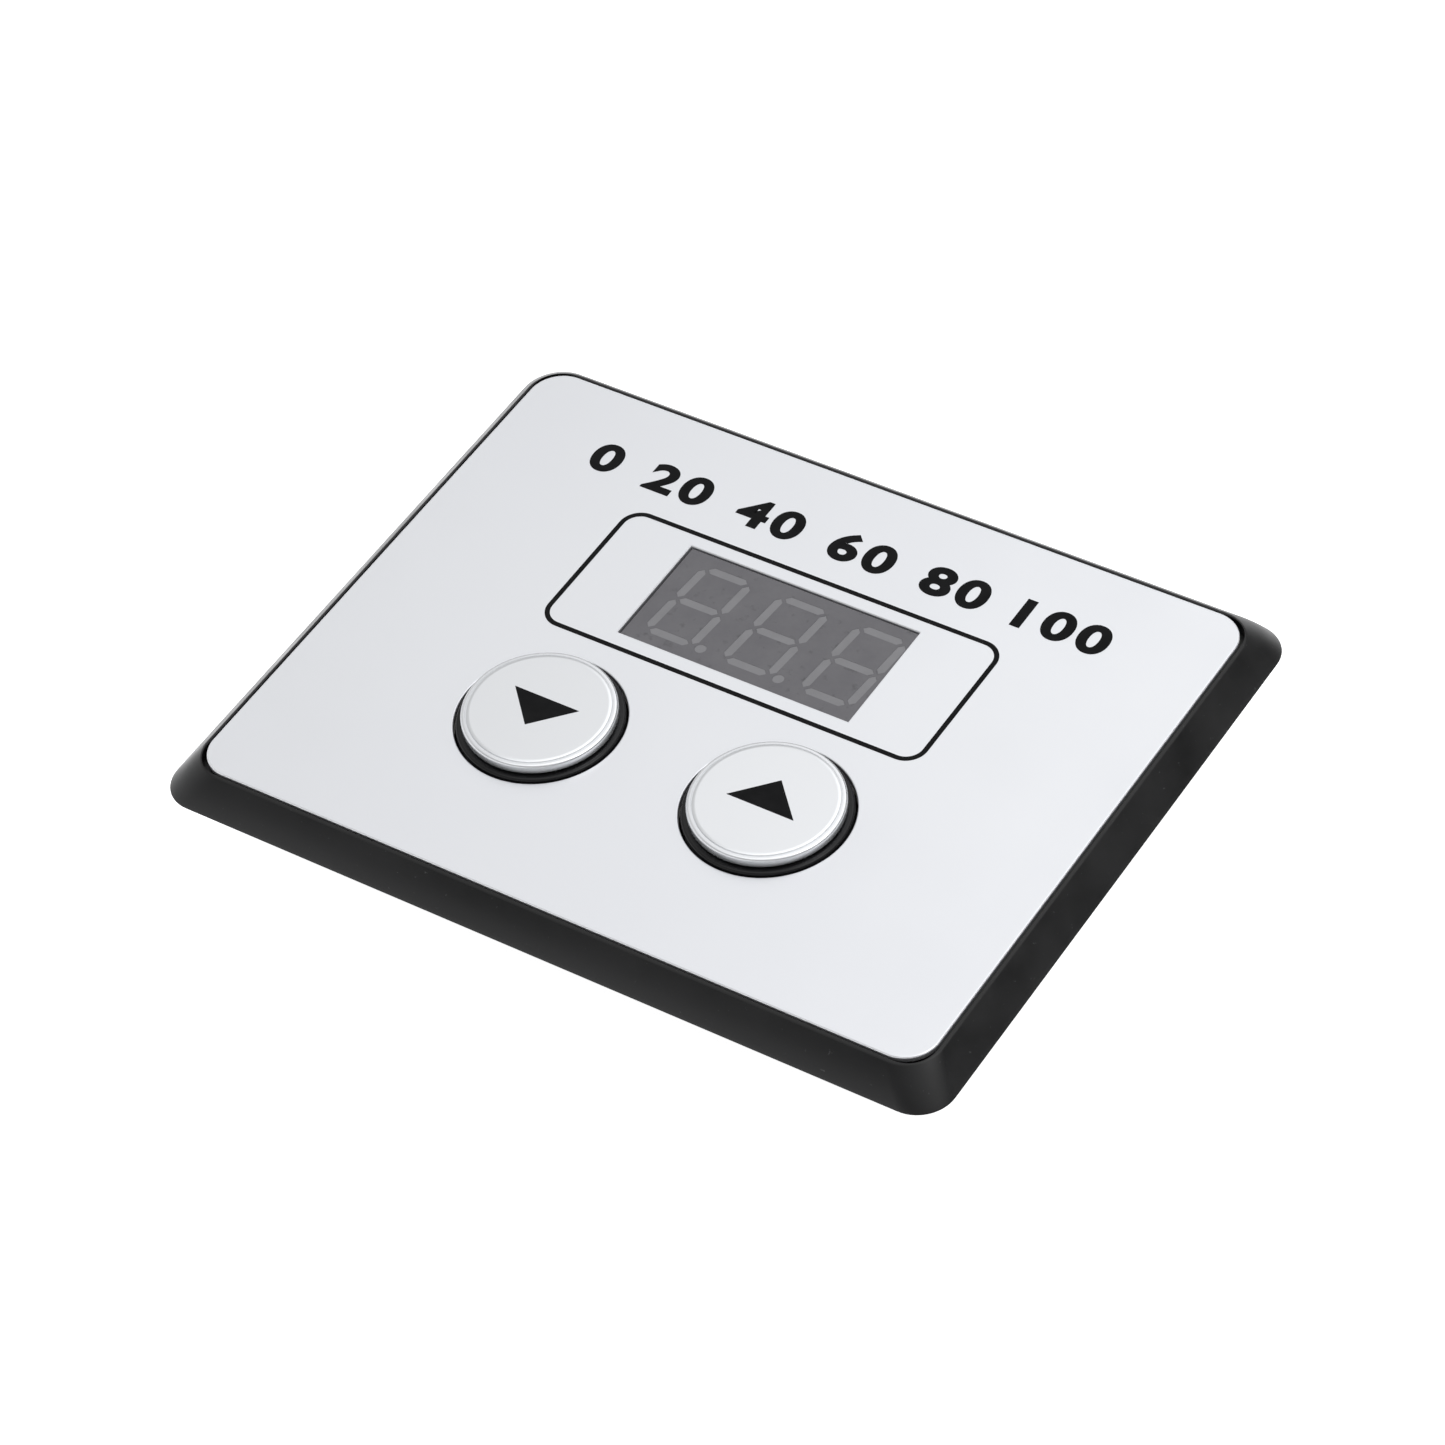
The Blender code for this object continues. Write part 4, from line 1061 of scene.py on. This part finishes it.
def make_spring(side):
    """A coil with a close turn at each end."""
    node = f"{side}_return_spring"
    low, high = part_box(node)
    centre = (low + high) / 2
    radius = (high.y - low.y) / 2 - WIRE_R
    start, end = low.z + WIRE_R, high.z - WIRE_R
    spring = join(
        coil(centre, radius, start, END_PITCH, 1),
        coil(centre, radius, start + END_PITCH, end - start - 2 * END_PITCH, FREE_TURNS),
        coil(centre, radius, end - END_PITCH, END_PITCH, 1),
    )
    spring.name = f"{side}_coil_spring"
    face_outward(spring)
    bpy.ops.object.mode_set(mode="EDIT")
    bpy.ops.mesh.select_mode(type="EDGE")
    bpy.ops.mesh.select_all(action="DESELECT")
    bpy.ops.mesh.select_non_manifold()
    bpy.ops.mesh.fill_holes(sides=0)
    leave_edit()
    dress(spring, SPRING_STEEL, stands_for=[node], smooth=50)
    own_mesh(spring)


def eased(node, name, look, width, body=PANEL):
    """The node's own form with its edges eased, given its finish."""
    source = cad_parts[node]
    piece = bpy.data.objects.new(name, source.data.copy())
    piece.data.transform(source.matrix_world)
    bpy.context.scene.collection.objects.link(piece)
    face_outward(piece)
    bpy.ops.object.mode_set(mode="EDIT")
    bpy.ops.mesh.select_all(action="SELECT")
    bpy.ops.mesh.dissolve_limited(angle_limit=math.radians(1))
    leave_edit()
    ease = piece.modifiers.new("ease", "BEVEL")
    ease.width = width
    ease.segments = 2
    ease.limit_method = "ANGLE"
    ease.angle_limit = math.radians(40)
    ease.use_clamp_overlap = True
    bpy.ops.object.modifier_apply(modifier=ease.name)
    dress(piece, look, body, [node])


def make_small_parts():
    """Clips, board, chips, switches and header, each with the width of its eased edges."""
    for side in ("left", "right"):
        eased(f"{side}_panel_clip", f"{side}_leaf_clip", SPRING_STEEL, 0.00012)
    eased("cable_header", "header_shroud", HEADER_WHITE, 0.00012)
    for number in range(1, 5):
        eased(f"header_pin_{number}", f"header_contact_{number}", BRASS, 0.00014)
    eased("adhesive_sheet", "adhesive_backing", ADHESIVE, 0.00004)
    eased("main_board", "control_board", BOARD_GREEN, 0.00005)
    eased("display_board", "display_carrier", BOARD_GREEN, 0.00005)
    eased("controller_chip", "control_chip", CHIP_BLACK, 0.00006)
    eased("driver_chip", "display_driver", CHIP_BLACK, 0.00006)
    eased("voltage_regulator", "supply_regulator", CHIP_BLACK, 0.00008)
    eased("resistor_network", "resistor_array", NETWORK_YELLOW, 0.00015)
    eased("electrolytic_capacitor", "supply_capacitor", CAN_BLUE, 0.00012)
    eased("crystal", "clock_crystal", STEEL, 0.00015)
    for side in ("down", "up"):
        switch, plunger = f"{side}_switch", f"{side}_plunger"
        eased(f"{switch}_body", f"{switch}_base", BLACK_SWITCH, 0.00008)
        eased(f"{switch}_plate", f"{switch}_cover", STEEL, 0.00005)
        eased(f"{switch}_plunger", f"{switch}_button", BLACK_SWITCH, 0.00010, plunger)


# ---------------------------------------------------------------- floor, light and camera


LENS_MM = 128.7
CAMERA_PLACE = (0.3035, -0.3898, 0.5262)
CAMERA_RIGHT = (0.84089793, 0.53303982, -0.09359076)
CAMERA_UP = (-0.33231861, 0.64506295, 0.68808294)
CAMERA_BACK = (0.42714754, -0.54750557, 0.71957114)
FLOOR_GLOW = 0.88


def make_floor():
    deselect_all()
    bpy.ops.mesh.primitive_plane_add(size=6, location=(0, 0, -0.0002))
    floor = bpy.context.object
    floor.name = "studio_floor"
    look = Finish("studio_floor", (0.86, 0.86, 0.87), 0.8, specular=0.1)
    look.shader.inputs["Emission Color"].default_value = (1, 1, 1, 1)
    look.shader.inputs["Emission Strength"].default_value = FLOOR_GLOW
    floor.data.materials.append(look.material)


def make_world():
    """A soft studio: bright above and to the left, darker towards the back right."""
    world = bpy.data.worlds.new("studio")
    bpy.context.scene.world = world
    world.use_nodes = True
    nodes, links = world.node_tree.nodes, world.node_tree.links
    background = nodes["Background"]
    place = nodes.new("ShaderNodeTexCoord").outputs["Generated"]
    split = nodes.new("ShaderNodeSeparateXYZ")
    links.new(place, split.inputs["Vector"])
    towards = nodes.new("ShaderNodeVectorMath")
    towards.operation = "DOT_PRODUCT"
    towards.inputs[1].default_value = (0.83, 0.55, 0)
    links.new(place, towards.inputs[0])

    def ramp(value, low, high, to_low, to_high, interpolation="LINEAR"):
        node = nodes.new("ShaderNodeMapRange")
        node.interpolation_type = interpolation
        node.inputs["From Min"].default_value = low
        node.inputs["From Max"].default_value = high
        node.inputs["To Min"].default_value = to_low
        node.inputs["To Max"].default_value = to_high
        links.new(value, node.inputs["Value"])
        return node.outputs["Result"]

    above = nodes.new("ShaderNodeMath")
    above.operation = "MULTIPLY"
    links.new(ramp(split.outputs["X"], -0.56, -0.28, 0.60, 1.36), above.inputs[0])
    links.new(ramp(split.outputs["Y"], -0.75, -0.10, 0.22, 1.0), above.inputs[1])
    rise = ramp(split.outputs["Z"], 0.28, 0.60, 0.0, 1.0, "SMOOTHSTEP")
    blend = nodes.new("ShaderNodeMix")
    links.new(above.outputs["Value"], blend.inputs["B"])
    links.new(rise, blend.inputs["Factor"])
    links.new(ramp(towards.outputs["Value"], -0.9, 0.6, 0.95, 0.05), blend.inputs["A"])
    links.new(blend.outputs["Result"], background.inputs["Strength"])
    background.inputs["Color"].default_value = (0.985, 0.99, 1.0, 1)


def make_lamp(name, place, size, power):
    """A soft rectangular lamp that looks at the origin."""
    lamp = bpy.data.lights.new(name, "AREA")
    lamp.shape = "RECTANGLE"
    lamp.size, lamp.size_y = size
    lamp.energy = power
    holder = bpy.data.objects.new(name, lamp)
    holder.location = place
    holder.rotation_mode = "QUATERNION"
    holder.rotation_quaternion = (-Vector(place)).to_track_quat("-Z", "Y")
    bpy.context.scene.collection.objects.link(holder)


def make_camera():
    lens = bpy.data.cameras.new("studio_camera")
    lens.sensor_width = 36
    lens.lens = LENS_MM
    lens.clip_start, lens.clip_end = 0.01, 20
    camera = bpy.data.objects.new("studio_camera", lens)
    turn = Matrix((CAMERA_RIGHT, CAMERA_UP, CAMERA_BACK)).transposed().to_4x4()
    camera.matrix_world = Matrix.Translation(CAMERA_PLACE) @ turn
    bpy.context.scene.collection.objects.link(camera)
    bpy.context.scene.camera = camera


make_camera()
make_floor()
make_world()
make_lamp("right_soft_light", (0.9, 0.2, 1.4), (0.8, 0.8), 3)
make_bezel()
plate_top = make_front_plate()
make_outline(plate_top)
make_numbers(plate_top)
for button in ("down", "up"):
    make_cap(button)
    make_arrow(button)
    make_button_stem(button)
    make_spring(button)
make_display()
make_cover()
make_gasket()
make_screws()
make_small_parts()
bpy.context.scene.view_settings.view_transform = "Standard"
